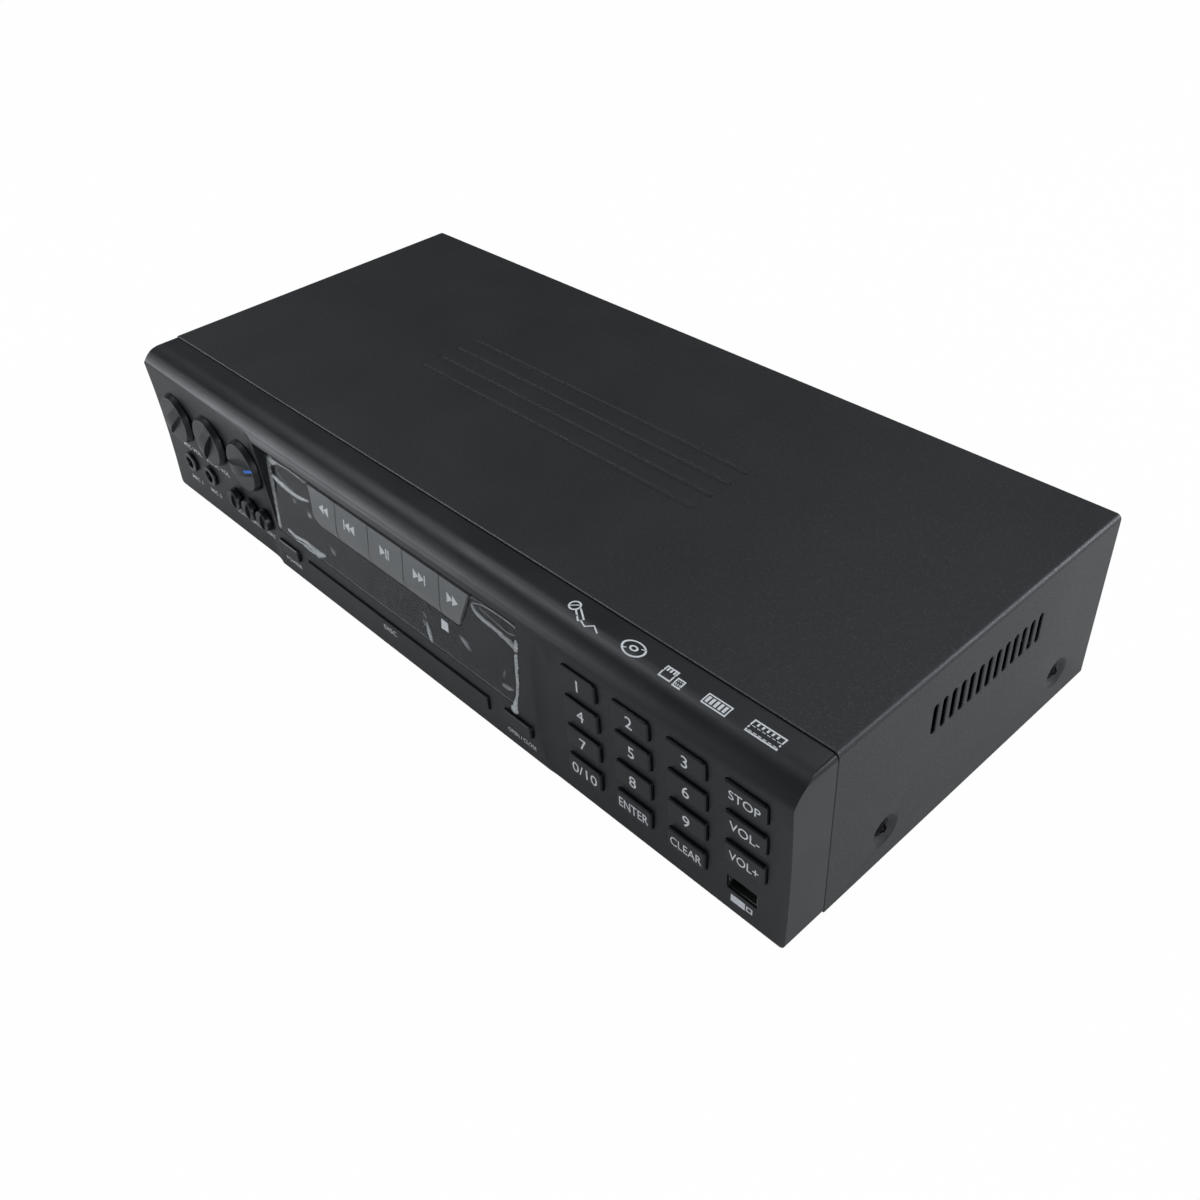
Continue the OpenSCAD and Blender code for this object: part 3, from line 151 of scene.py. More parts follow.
class Finish:
    """A surface finish on the Principled shader. Constants go straight to the shader's own sockets."""

    def __init__(self, name, colour, rough, metal=0.0, **fixed):
        self.material = bpy.data.materials.new(name)
        self.material.use_nodes = True
        self.tree = self.material.node_tree
        self.tree.nodes.clear()
        self.output = self.tree.nodes.new("ShaderNodeOutputMaterial")
        self.shader = self.tree.nodes.new("ShaderNodeBsdfPrincipled")
        self.tree.links.new(self.shader.outputs[0], self.output.inputs["Surface"])
        self.place = self.add("ShaderNodeTexCoord", output="Object")
        self.set("Base Color", colour)
        self.set("Roughness", rough)
        self.set("Metallic", metal)
        for socket, value in fixed.items():
            self.set(socket.replace("_", " "), value)

    def add(self, kind, settings=None, inputs=None, output=0):
        """A node of any type: its settings first, then the values or wires of its sockets."""
        node = self.tree.nodes.new(kind)
        for name, value in (settings or {}).items():
            setattr(node, name, value)
        for name, value in (inputs or {}).items():
            self.join(node.inputs[name], value)
        return Wire(self, node.outputs[output])

    def join(self, socket, value):
        if isinstance(value, Wire):
            self.tree.links.new(value.socket, socket)
        elif hasattr(value, "__len__") and len(value) == 3 and socket.type == "RGBA":
            socket.default_value = (*value, 1)
        else:
            socket.default_value = value

    def set(self, socket, value):
        self.join(self.shader.inputs[socket], value)

    def grain(self, size, detail=2.0, rough=0.5, place=None):
        """Cloudy noise from 0 to 1 whose blotches are about as wide as size, in millimetres."""
        inputs = {"Vector": place or self.place, "Scale": 1 / (size * MM)}
        inputs.update({"Detail": detail, "Roughness": rough})
        return self.add("ShaderNodeTexNoise", None, inputs)

    def cells(self, size, feature="F1", output="Distance"):
        inputs = {"Vector": self.place, "Scale": 1 / (size * MM)}
        return self.add("ShaderNodeTexVoronoi", {"feature": feature}, inputs, output)

    def stretched(self, x, y, z):
        """The place with each direction scaled."""
        return self.add("ShaderNodeMapping", None, {"Vector": self.place, "Scale": (x, y, z)})

    def along(self, axis):
        """The place along one axis, in millimetres of the frame."""
        return self.add("ShaderNodeSeparateXYZ", None, {0: self.place}, axis) * (1 / MM)

    def mix(self, share, first, second):
        return self.add("ShaderNodeMix", {"data_type": "RGBA"}, {0: share, 6: first, 7: second}, 2)

    def bump(self, height, depth, strength=1.0):
        """Raises the surface by height times depth, in millimetres."""
        inputs = {"Height": height, "Distance": depth * MM, "Strength": strength}
        self.set("Normal", self.add("ShaderNodeBump", None, inputs))

    def use(self, attribute):
        """A number that a piece's mesh carries."""
        return self.add("ShaderNodeAttribute", {"attribute_name": attribute}, None, "Fac")


def moulded(name, colour, rough, texture=0.32, depth=0.02, gloss=0.5, patchy=0.15):
    """Moulded plastic with an eroded texture, faint cloudy wear and a little dust."""
    made = Finish(name, colour, rough, Specular_IOR_Level=gloss)
    cloud = made.grain(26, 3)
    fine = made.grain(texture, 3, 0.6)
    lighter = [c * 1.5 + 0.002 for c in colour]
    made.set("Base Color", made.mix((cloud * 0.4 + fine * 0.6).eased(0.35, 0.85), colour, lighter))
    made.set("Roughness", (cloud - 0.5) * patchy + (fine - 0.5) * 0.12 + rough)
    made.bump(fine, depth)
    return made.material


def powder_coat(name, colour, rough):
    """Baked powder coat: a pebbled skin with fine bright specks in it."""
    made = Finish(name, colour, rough, Specular_IOR_Level=0.45)
    pebbles = made.cells(0.7, feature="SMOOTH_F1")
    fine = made.grain(0.8, 2)
    cloud = made.grain(45, 3)
    specks = made.grain(0.7, 0).eased(0.64, 0.72)
    dark, light, bright = ([c * share for c in colour] for share in (0.8, 1.5, 2.6))
    tone = made.mix((cloud * 0.4 + fine * 0.6).eased(0.3, 0.75), dark, light)
    made.set("Base Color", made.mix(specks * 0.6, tone, bright))
    made.set("Roughness", (cloud - 0.5) * 0.12 + rough - specks * 0.08)
    made.bump(pebbles * 0.7 + fine * 0.5, 0.03)
    return made.material


def zinc_plate(name, colour=(0.5, 0.51, 0.53)):
    """Zinc-plated sheet with rolling marks, dull spangles and stains."""
    made = Finish(name, colour, 0.35, 1.0)
    rolled = made.grain(1.2, 2, 0.6, made.stretched(1, 14, 14))
    spangle = made.cells(7, output="Color")
    cloud = made.grain(30, 3)
    tone = made.mix(cloud.eased(0.35, 0.75), colour, [c * 0.72 for c in colour])
    value = made.add("ShaderNodeRGBToBW", None, {0: spangle})
    made.set("Base Color", made.mix(value * 0.25, tone, [min(1, c * 1.3) for c in colour]))
    made.set("Roughness", rolled * 0.18 + value * 0.12 + 0.22)
    made.bump(rolled, 0.006)
    return made.material


def plated(name, colour, rough=0.18):
    """Polished plating with hairline scratches and faint haze."""
    made = Finish(name, colour, rough, 1.0)
    haze = made.grain(4, 3)
    lines = made.grain(0.5, 1, 0.5, made.stretched(1, 1, 30))
    made.set("Base Color", made.mix(haze.eased(0.3, 0.8), colour, [c * 0.8 for c in colour]))
    made.set("Roughness", haze * 0.14 + lines * 0.08 + rough - 0.08)
    made.bump(lines, 0.003)
    return made.material


def rubber(name):
    made = Finish(name, (0.02, 0.02, 0.021), 0.8, Specular_IOR_Level=0.3)
    dust = made.grain(3, 4).eased(0.45, 0.8)
    made.set("Base Color", made.mix(dust * 0.4, (0.016, 0.016, 0.017), (0.06, 0.058, 0.055)))
    made.set("Roughness", 0.88 - dust * 0.1)
    made.bump(made.grain(0.5, 2), 0.03)
    return made.material


def solder_mask(name, colour, copper):
    """A printed board: lacquer over copper tracks that run both ways, with plated holes."""
    track_pitch = 1.27
    hole_pitch = 2.54
    made = Finish(name, colour, 0.32, Coat_Weight=0.3, Coat_Roughness=0.15)
    x = made.along("X")
    y = made.along("Y")
    lanes = made.cells(9, output="Color")
    pick = made.add("ShaderNodeRGBToBW", None, {0: lanes})
    across = (x.rest_of(track_pitch) - 0.63).size().under(0.22)
    down = (y.rest_of(track_pitch) - 0.63).size().under(0.22)
    turn = pick.over(0.5)
    tracks = across * turn + down * (1 - turn)
    routed = tracks * made.grain(6, 1).over(0.42)
    dx = x.rest_of(hole_pitch) - hole_pitch / 2
    dy = y.rest_of(hole_pitch) - hole_pitch / 2
    spot = dx * dx + dy * dy
    drilled = made.cells(hole_pitch, output="Color")
    chosen = made.add("ShaderNodeRGBToBW", None, {0: drilled}).over(0.72)
    pads = spot.under(0.32) * chosen
    raised = made.mix(routed, colour, copper)
    made.set("Base Color", made.mix(pads, raised, (0.62, 0.6, 0.55)))
    made.set("Roughness", 0.34 - pads * 0.1 - routed * 0.06)
    made.set("Metallic", pads * 0.9)
    made.bump(routed * 0.6 + pads, 0.03)
    return made.material


def ink(name, colour):
    """Screen-printed ink with small pinholes and uneven cover."""
    made = Finish(name, colour, 0.55)
    cover = made.grain(0.5, 2).eased(0.25, 0.5)
    made.set("Base Color", made.mix(cover, [c * 0.75 for c in colour], colour))
    made.set("Roughness", 0.6 - cover * 0.1)
    return made.material


def smoked_clear(name):
    """Opaque, because plastic this dark lets nothing show through; glossy, with faint wipe marks."""
    made = Finish(name, (0.006, 0.0064, 0.0075), 0.08, Specular_IOR_Level=0.34)
    wipes = made.grain(5, 3, 0.6, made.stretched(0.4, 1, 2.2))
    cloud = made.grain(40, 2)
    made.set("Base Color", made.mix(cloud, (0.005, 0.0053, 0.006), (0.0075, 0.008, 0.009)))
    made.set("Roughness", wipes.eased(0.4, 0.8) * 0.1 + 0.06)
    return made.material


def clear_film(name):
    """Thin clear film with specks of dust under it. Its faint cloudy grey is painted reflection, and the near
    white along its creases is a painted highlight of the lifted folds.
    """
    made = Finish(name, (0.62, 0.64, 0.67), 0.2, IOR=1.45, Specular_IOR_Level=0.45)
    crease = made.use("crease")
    haze = made.grain(14, 3)
    dust = made.grain(1.1, 0).eased(0.79, 0.84)
    drawn = made.grain(1.6, 2, 0.6, made.stretched(0.35, 1, 1.6))
    streaks = drawn.eased(0.25, 0.7)
    # Painted highlight on the creases and painted reflection over the whole film, in colour and opacity
    made.set("Base Color", made.mix(crease.eased(0, 0.5), (0.42, 0.44, 0.47), (0.8, 0.82, 0.82)))
    clouded = haze * 0.025 + 0.008 + dust * 0.12
    made.set("Alpha", (clouded + crease * (streaks * 0.5 + 0.55)).least(0.85))
    made.set("Roughness", 0.12 + haze * 0.12)
    made.bump(haze, 0.05, 0.3)
    return made.material


def wound_wire(name, colour, pitch):
    """Enamelled wire laid turn beside turn under clear tape."""
    made = Finish(name, colour, 0.3, Coat_Weight=0.5, Coat_Roughness=0.2)
    turns = (made.along("Z") * (2 * math.pi / pitch)).wave() * 0.5 + 0.5
    made.set("Base Color", made.mix(turns, [c * 0.35 for c in colour], colour))
    made.set("Roughness", 0.45 - turns * 0.2)
    made.bump(turns, 0.12)
    return made.material


def laminated(name):
    """Stacked core laminations under dark varnish."""
    made = Finish(name, (0.06, 0.06, 0.065), 0.42, 0.6)
    sheets = (made.along("Y") * (2 * math.pi / 0.7)).wave() * 0.5 + 0.5
    rust = made.grain(9, 4).eased(0.55, 0.8)
    made.set("Base Color", made.mix(rust * 0.5, (0.07, 0.07, 0.075), (0.12, 0.06, 0.03)))
    made.set("Roughness", 0.5 - sheets * 0.15)
    made.bump(sheets, 0.08)
    return made.material


PANEL = moulded("panel_texture", (0.0085, 0.0088, 0.0102), 0.4, 0.34, 0.012, 0.38)
KEY = moulded("key_satin", (0.0066, 0.0069, 0.0081), 0.34, 0.3, 0.006, 0.38, 0.08)
BAR = moulded("bar_grey", (0.145, 0.147, 0.145), 0.34, 0.4, 0.004, 0.5, 0.08)
KNOB = moulded("knob_satin", (0.009, 0.0092, 0.0105), 0.34, 0.3, 0.006, 0.45, 0.08)
COVER = powder_coat("cover_powder_coat", (0.0108, 0.0111, 0.0124), 0.5)
# Painted highlight: a paler, smoother coat on the cover's rounded front edge, where it catches the light
COVER_EDGE_HIGHLIGHT = powder_coat("cover_edge_painted_highlight", (0.05, 0.052, 0.056), 0.36)
REAR = powder_coat("rear_powder_coat", (0.014, 0.0143, 0.0155), 0.52)
ZINC = zinc_plate("zinc_steel")
SCREW = plated("blackened_steel", (0.012, 0.012, 0.013), 0.45)
RUBBER = rubber("rubber")
WINDOW = smoked_clear("smoked_window")
FILM = clear_film("protective_film")
NICKEL = plated("nickel", (0.66, 0.65, 0.62))
BRASS = plated("brass", (0.72, 0.5, 0.2))
TIN = plated("tinned_pins", (0.7, 0.7, 0.69), 0.3)
ALUMINIUM = zinc_plate("heatsink_aluminium", (0.62, 0.63, 0.64))
GREEN_BOARD = solder_mask("green_board", (0.012, 0.07, 0.035), (0.03, 0.16, 0.07))
BROWN_BOARD = solder_mask("brown_board", (0.24, 0.15, 0.07), (0.33, 0.2, 0.09))
BLACK = moulded("moulded_black", (0.018, 0.018, 0.019), 0.45, 0.5, 0.01)
TRAY = moulded("tray_black", (0.017, 0.0172, 0.0185), 0.4, 0.45, 0.012)
ACETAL = moulded("natural_acetal", (0.72, 0.69, 0.62), 0.38, 1.2, 0.006, 0.5, 0.05)
CREAM = moulded("connector_cream", (0.72, 0.68, 0.55), 0.42, 0.8, 0.008)
SLEEVE = moulded("capacitor_sleeve", (0.012, 0.018, 0.06), 0.28, 0.9, 0.004)
EPOXY = moulded("chip_epoxy", (0.02, 0.02, 0.021), 0.5, 0.25, 0.01)
RED = moulded("red_plastic", (0.42, 0.012, 0.01), 0.3, 0.6, 0.004)
WHITE = moulded("white_plastic", (0.72, 0.72, 0.7), 0.34, 0.8, 0.004)
YELLOW = moulded("yellow_tape", (0.7, 0.46, 0.06), 0.35, 1.5, 0.01)
WIRE = wound_wire("copper_winding", (0.55, 0.2, 0.06), 0.5)
CORE = laminated("core_laminations")
GLASS = moulded("display_glass", (0.012, 0.02, 0.022), 0.08, 6, 0.001, 0.5, 0.02)
LABEL = ink("label_ink", (0.8, 0.81, 0.82))
SMALL_LABEL = ink("small_label_ink", (0.72, 0.73, 0.74))
BLUE = ink("blue_pointer", (0.05, 0.22, 0.8))
# Dark nickel: the dull front rings of the microphone jacks, and painted shade on the USB socket's shell
# inside its recess
DULL_AND_SHADED_NICKEL = plated("dulled_and_shaded_nickel", (0.12, 0.12, 0.12), 0.4)

NODE_FINISH = {
    "feet": RUBBER, "cover_screws": SCREW, "chassis": ZINC, "rear_panel": REAR, "display_window": WINDOW,
    "loader_frame": BLACK, "disc_tray": TRAY,
    "drive_gear": ACETAL, "pulley_gear": ACETAL, "drive_belt": RUBBER, "motor_pulley": BRASS,
    "loading_motor": NICKEL, "clamp_bridge": ZINC, "clamp_puck": BLACK, "traverse_frame": ZINC,
    "turntable": BLACK, "pickup_sled": BLACK,
}
for node, finish in NODE_FINISH.items():
    mesh = frame["nodes"][node].data
    mesh.materials.clear()
    mesh.materials.append(finish)


# Pieces made from the CAD nodes, and the small parts on the boards


def piece(name, shape, body, finishes, instead_of=(), paint=None, even=32):
    """Makes a shape in machine millimetres a finished piece that moves with a body."""
    if paint:
        for face in shape.faces:
            face.material_index = paint(face.calc_center_median(), face.normal)
    bmesh.ops.transform(shape, matrix=TO_FRAME, verts=shape.verts)
    mesh = bpy.data.meshes.new(name)
    shape.to_mesh(mesh)
    shape.free()
    for finish in finishes:
        mesh.materials.append(finish)
    mesh.shade_smooth()
    mesh.set_sharp_from_angle(angle=math.radians(even))
    made = placed(name, mesh)
    made.modifiers.new("even", "WEIGHTED_NORMAL").keep_sharp = True
    made.data = plain_mesh(made, name)
    made.modifiers.clear()
    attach(made, body)
    if instead_of:
        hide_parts(*instead_of)
    return made


def plain_mesh(obj, name):
    """The object's mesh with its modifiers worked in."""
    made = bpy.data.meshes.new_from_object(obj.evaluated_get(bpy.context.evaluated_depsgraph_get()))
    made.name = name
    return made


def copy_of(*nodes):
    """A copy of CAD nodes in machine millimetres, with its corners merged."""
    shape = bmesh.new()
    for node in nodes:
        shape.from_mesh(frame["nodes"][node].data)
    bmesh.ops.transform(shape, matrix=TO_MACHINE, verts=shape.verts)
    bmesh.ops.remove_doubles(shape, verts=shape.verts, dist=MERGE)
    return shape


# Faces that meet at less than FLAT_TURN are one flat face; edges sharper than SHARP_TURN are rounded
FLAT_TURN = math.radians(0.3)
SHARP_TURN = math.radians(40)


def soft_copy(node, edge):
    """A copy of a CAD node with its sharp edges rounded by a few tenths, as a tool leaves them."""
    shape = copy_of(node)
    bmesh.ops.dissolve_limit(shape, angle_limit=FLAT_TURN, verts=shape.verts, edges=shape.edges)
    mesh = bpy.data.meshes.new("softened")
    shape.to_mesh(mesh)
    shape.free()
    holder = placed("softened", mesh)
    bevel = holder.modifiers.new("edges", "BEVEL")
    bevel.width = edge
    bevel.segments = 2
    bevel.limit_method = "ANGLE"
    bevel.angle_limit = SHARP_TURN
    bevel.use_clamp_overlap = False
    bevel.miter_outer = "MITER_ARC"
    made = plain_mesh(holder, "softened_plain")
    bpy.data.objects.remove(holder)
    shape = bmesh.new()
    shape.from_mesh(made)
    bmesh.ops.remove_doubles(shape, verts=shape.verts, dist=MERGE)
    bmesh.ops.triangulate(shape, faces=[f for f in shape.faces if len(f.verts) > 4])
    return shape


def body_of(node):
    return next(name for name, members in frame["record"]["behaviour"]["bodies"].items() if node in members)


def softened(node, finishes, edge, paint=None):
    """A rounded copy of a CAD node that takes its place."""
    piece(node + "_shell", soft_copy(node, edge), body_of(node), finishes, [node], paint)


def near(c, places, reach):
    """Whether a point lies within reach of one of some places, seen from above."""
    return any(math.hypot(c.x - x, c.y - y) < reach for x, y in places)


BOARD_BOTTOM = 8
BOARD_TOP = 9.61
SMALL_CAPACITORS = [(92, 86), (104, 90), (180, 56), (180, 72), (180, 88)]
LARGE_CAPACITORS = [(172, 128), (190, 128), (172, 150), (190, 150)]


def main_board_paint(c, n):
    if c.z < BOARD_BOTTOM:
        return 4
    if c.z < BOARD_TOP:
        return 0
    if near(c, SMALL_CAPACITORS, 3.3):
        return 4 if n.z > 0.9 else 2
    return 3 if 95.4 < c.y < 100.6 else 1


def amplifier_board_paint(c, n):
    if c.z < BOARD_BOTTOM:
        return 4
    if c.z < BOARD_TOP:
        return 0
    if near(c, LARGE_CAPACITORS, 8.2):
        return 3 if n.z > 0.9 else 2
    return 1 if c.y < 143.99 else 3


TRANSFORMER_X = -164
TRANSFORMER_Y = 128


def transformer_paint(c, n):
    x = c.x - TRANSFORMER_X
    y = c.y - TRANSFORMER_Y
    if c.z < CHASSIS_TOP + 1.95:
        return 2
    if abs(y) > 14.02:
        return 3 if abs(y) > 24.9 else 1
    return 1 if abs(x) < 21.7 and CHASSIS_TOP + 12 < c.z < CHASSIS_TOP + 47 and abs(y) < 13.9 else 0


PHONO_COLOURS = [(4, 2, 3, 0), (2, 3, 2, 3)]
PHONO_X = 20
PHONO_TOP_Z = 43.5
PHONO_PITCH = 15


def phono_paint(c, n):
    if c.y < BACK_Y:
        return 0
    column = min(3, max(0, round((c.x - PHONO_X) / PHONO_PITCH)))
    row = 0 if c.z > 36 else 1
    from_middle = math.hypot(c.x - PHONO_X - PHONO_PITCH * column, c.z - (PHONO_TOP_Z - PHONO_PITCH * row))
    if from_middle < 1.7:
        return 0
    return PHONO_COLOURS[row][column] if c.y < BACK_Y + 1.45 and from_middle > 4.2 else 1


def terminal_paint(c, n):
    """The levers are red and black in turn; the block behind them is black."""
    lever = c.y > BACK_Y + 2.02 or (c.y > BACK_Y + 1.9 and c.z > 36.5)
    return 1 + int((c.x - 122) // 14) % 2 if lever else 0


def jack_paint(c, n):
    middle = JACK_X[0] if c.x < sum(JACK_X) / 2 else JACK_X[1]
    if c.z < JACK_Z - 7.02:
        return 2
    if math.hypot(c.x - middle, c.z - JACK_Z) < 3.3:
        return 1
    return 0 if c.y < 5.03 else 1


# The shell takes the dark nickel, which paints the shade inside the socket's recess; the tongue is black
def usb_paint(c, n):
    tongue = abs(c.z - USB_MIDDLE.z - 1.2) < 0.95 and abs(c.x - USB_MIDDLE.x) < 5.45
    return 1 if tongue and c.y > 3.3 else 0


def inlet_paint(c, n):
    return 1 if min(math.hypot(c.x + 180 - s, c.z - 30) for s in (-4.2, 4.2)) < 1.25 else 0


def painted(node, finishes, paint):
    """A CAD node kept in shape and coloured face by face."""
    return piece(node + "_detail", copy_of(node), body_of(node), finishes, [node], paint)


CHASSIS_TOP = box_mm("transformer")[0].z
COVER_FRONT = box_mm("top_cover")[0].y
BACK_Y = 194.8
JACK_X = (-193, -172.5)
JACK_Z = 22.4
USB_MIDDLE = Vector((194.9, 0, 13.7))

painted("main_board", [GREEN_BOARD, EPOXY, SLEEVE, CREAM, ALUMINIUM], main_board_paint)
painted("amplifier_board", [BROWN_BOARD, EPOXY, SLEEVE, ALUMINIUM, ZINC], amplifier_board_paint)
painted("transformer", [CORE, WIRE, ZINC, YELLOW], transformer_paint)
painted("phono_sockets", [BLACK, NICKEL, WHITE, RED, YELLOW], phono_paint)
painted("speaker_terminals", [BLACK, RED, KEY], terminal_paint)
painted("mic_jacks", [DULL_AND_SHADED_NICKEL, BLACK, TIN], jack_paint)
painted("usb_socket", [DULL_AND_SHADED_NICKEL, BLACK], usb_paint)
painted("potentiometers", [ZINC, NICKEL], lambda c, n: 1 if c.y < 7.55 else 0)
painted("front_board", [GREEN_BOARD, BLACK], lambda c, n: 1 if c.y < 13.55 else 0)
painted("display_module", [BLACK, GLASS], lambda c, n: 1 if n.y < -0.9 and c.y > 9.9 else 0)
painted("mains_inlet", [BLACK, NICKEL], inlet_paint)


def stepped(shape, *blocks):
    """Adds boxes, each from its low to its high corner."""
    for low, high in blocks:
        corners = bmesh.ops.create_cube(shape, size=1)["verts"]
        for v in corners:
            v.co = Vector([low[k] if v.co[k] < 0 else high[k] for k in range(3)])
    return shape


def gull_leg(reach, drop, wide):
    """A chip's leg: out of the body, down and along the board. It points to +X."""
    t = 0.2
    half = wide / 2
    knee = reach * 0.4
    return stepped(bmesh.new(), ((-0.2, -half, drop - t), (knee, half, drop)),
                   ((knee - t, -half, 0), (knee, half, drop)), ((knee - t, -half, 0), (reach, half, t)))


def repeat_tree():
    """Geometry nodes that set a unit at each point of a mesh, turned and sized as the point says."""
    tree = bpy.data.node_groups.new("repeat", "GeometryNodeTree")
    sockets = {}
    tree.interface.new_socket("Points", in_out="INPUT", socket_type="NodeSocketGeometry")
    for name, kind in (("Unit", "NodeSocketObject"), ("Finish", "NodeSocketMaterial")):
        sockets[name] = tree.interface.new_socket(name, in_out="INPUT", socket_type=kind).identifier
    tree.interface.new_socket("Pieces", in_out="OUTPUT", socket_type="NodeSocketGeometry")
    start = tree.nodes.new("NodeGroupInput")
    end = tree.nodes.new("NodeGroupOutput")
    unit = tree.nodes.new("GeometryNodeObjectInfo")
    copies = tree.nodes.new("GeometryNodeInstanceOnPoints")
    whole = tree.nodes.new("GeometryNodeRealizeInstances")
    coloured = tree.nodes.new("GeometryNodeSetMaterial")
    links = ((start, "Points", copies, "Points"), (start, "Unit", unit, "Object"),
             (unit, "Geometry", copies, "Instance"), (copies, "Instances", whole, "Geometry"),
             (whole, "Geometry", coloured, "Geometry"), (start, "Finish", coloured, "Material"),
             (coloured, "Geometry", end, "Pieces"))
    for source, out, target, into in links:
        tree.links.new(source.outputs[out], target.inputs[into])
    for name, socket in (("turn", "Rotation"), ("size", "Scale")):
        given = tree.nodes.new("GeometryNodeInputNamedAttribute")
        given.data_type = "FLOAT_VECTOR"
        given.inputs["Name"].default_value = name
        tree.links.new(given.outputs["Attribute"], copies.inputs[socket])
    return tree, sockets


REPEAT, REPEAT_SOCKETS = repeat_tree()


def repeated(name, unit, places, finish):
    """Sets one small shape at many places. A place is a point, a turn about Z in degrees and a size."""
    unit_mesh = bpy.data.meshes.new("unit")
    unit.to_mesh(unit_mesh)
    unit.free()
    unit_object = placed("unit", unit_mesh)
    points = bpy.data.meshes.new("places")
    points.from_pydata([point for point, turn, size in places], [], [])
    turn_layer = points.attributes.new("turn", "FLOAT_VECTOR", "POINT")
    size_layer = points.attributes.new("size", "FLOAT_VECTOR", "POINT")
    for i, (point, turn, size) in enumerate(places):
        turn_layer.data[i].vector = (0, 0, math.radians(turn))
        size_layer.data[i].vector = size
    holder = placed("places", points)
    repeat = holder.modifiers.new("repeat", "NODES")
    repeat.node_group = REPEAT
    repeat[REPEAT_SOCKETS["Unit"]] = unit_object
    repeat[REPEAT_SOCKETS["Finish"]] = finish
    made = plain_mesh(holder, name)
    bpy.data.objects.remove(holder)
    bpy.data.objects.remove(unit_object)
    shape = bmesh.new()
    shape.from_mesh(made)
    for face in shape.faces:
        face.material_index = 0
    piece(name, shape, "housing", [finish], even=60)


ONE = (1, 1, 1)


def legs_of(x, y, wide, deep, pitch, sides):
    """Places of a chip's legs round its body, on the board's top."""
    places = []
    for side in sides:
        across, out = (deep, wide) if side in (0, 180) else (wide, deep)
        count = int((across - 1.6) / pitch)
        turn = math.radians(side)
        for k in range(count + 1):
            along = (k - count / 2) * pitch
            spot = Vector((out / 2 * math.cos(turn) - along * math.sin(turn),
                           out / 2 * math.sin(turn) + along * math.cos(turn), 0))
            places.append((Vector((x, y, BOARD_TOP)) + spot, side, ONE))
    return places


chip_legs = legs_of(120, 72, 24, 24, 0.9, (0, 90, 180, 270)) + legs_of(152, 64, 12, 20, 1.27, (0, 180))
chip_legs += legs_of(152, 86, 14, 10, 1.27, (90, 270))
repeated("chip_legs", gull_leg(1.3, 1.1, 0.42), chip_legs, TIN)

chip_part = stepped(bmesh.new(), ((-0.8, -0.55, 0), (0.8, 0.55, 0.5)), ((-1.05, -0.6, 0), (-0.7, 0.6, 0.56)),
                    ((0.7, -0.6, 0), (1.05, 0.6, 0.56)))
BOARD_CORNERS = [(80, 48), (196, 48), (80, 102), (196, 102)]
# Places on the main board that are taken, and how far round each the small parts stay away
TAKEN = ((SMALL_CAPACITORS, 5), ([(120, 72)], 19), ([(152, 64), (152, 86)], 13), (BOARD_CORNERS, 5))
small_parts = []
for k in range(90):
    x = 80 + 116 * (0.5 + 0.5 * math.sin(k * 7.13))
    y = 48 + 46 * (0.5 + 0.5 * math.sin(k * 3.71 + 1))
    spot = Vector((x, y, BOARD_TOP))
    if not any(near(spot, places, reach) for places, reach in TAKEN):
        small_parts.append((spot, 90 * (k % 2), ONE))
repeated("small_parts", chip_part, small_parts, SLEEVE)

pin = stepped(bmesh.new(), ((-0.3, -0.3, 0), (0.3, 0.3, 5.2)), ((-0.22, -0.22, 5.2), (0.22, 0.22, 5.6)))
connector_pins = [(Vector((x - 5 + 2.5 * k, 98, BOARD_TOP + 5.4)), 0, (1, 1, 0.35))
                  for x in (110, 130, 150) for k in range(5)]
repeated("connector_pins", pin, connector_pins, TIN)

leg = stepped(bmesh.new(), ((-0.4, -0.25, 0), (0.4, 0.25, 4.2)), ((-0.7, -0.3, 3.2), (0.7, 0.3, 4.2)))
transistor_legs = [(Vector((x + 5 * k, 141.7, BOARD_TOP)), 0, ONE) for x in (106, 138) for k in (-1, 0, 1)]
repeated("transistor_legs", leg, transistor_legs, TIN)


KEYPAD = ["key_%d" % n for n in range(10)]
KEYPAD += ["enter_key", "clear_key", "stop_key", "volume_down_key", "volume_up_key"]
TRANSPORT = ["rewind_key", "previous_key", "play_key", "next_key", "forward_key"]
LARGE_KNOBS = ["mic_volume_knob", "music_volume_knob", "master_volume_knob"]
SMALL_KNOBS = ["echo_knob", "bass_knob", "treble_knob"]


def cover_paint(c, n):
    """The rounded front edge of the cover is painted paler, a painted highlight where that edge catches the
    light.
    """
    return 1 if c.y < COVER_FRONT + 0.6 and n.y < -0.3 and n.z > 0.3 else 0


softened("front_panel", [PANEL], 0.1)
softened("top_cover", [COVER, COVER_EDGE_HIGHLIGHT], 0.45, cover_paint)
softened("tray_door", [PANEL], 0.12)
for node in KEYPAD + ["power_key", "open_close_key"]:
    softened(node, [KEY], 0.1)
for node in TRANSPORT:
    softened(node, [BAR], 0.08)
for node in LARGE_KNOBS:
    softened(node, [KNOB], 0.18)
for node in SMALL_KNOBS:
    softened(node, [KNOB], 0.14)


# Lettering and signs


def surface_of(*nodes):
    """What lettering is laid on: the CAD nodes as one searchable surface, in machine millimetres."""
    shape = copy_of(*nodes)
    tree = BVHTree.FromBMesh(shape)
    shape.free()
    return tree


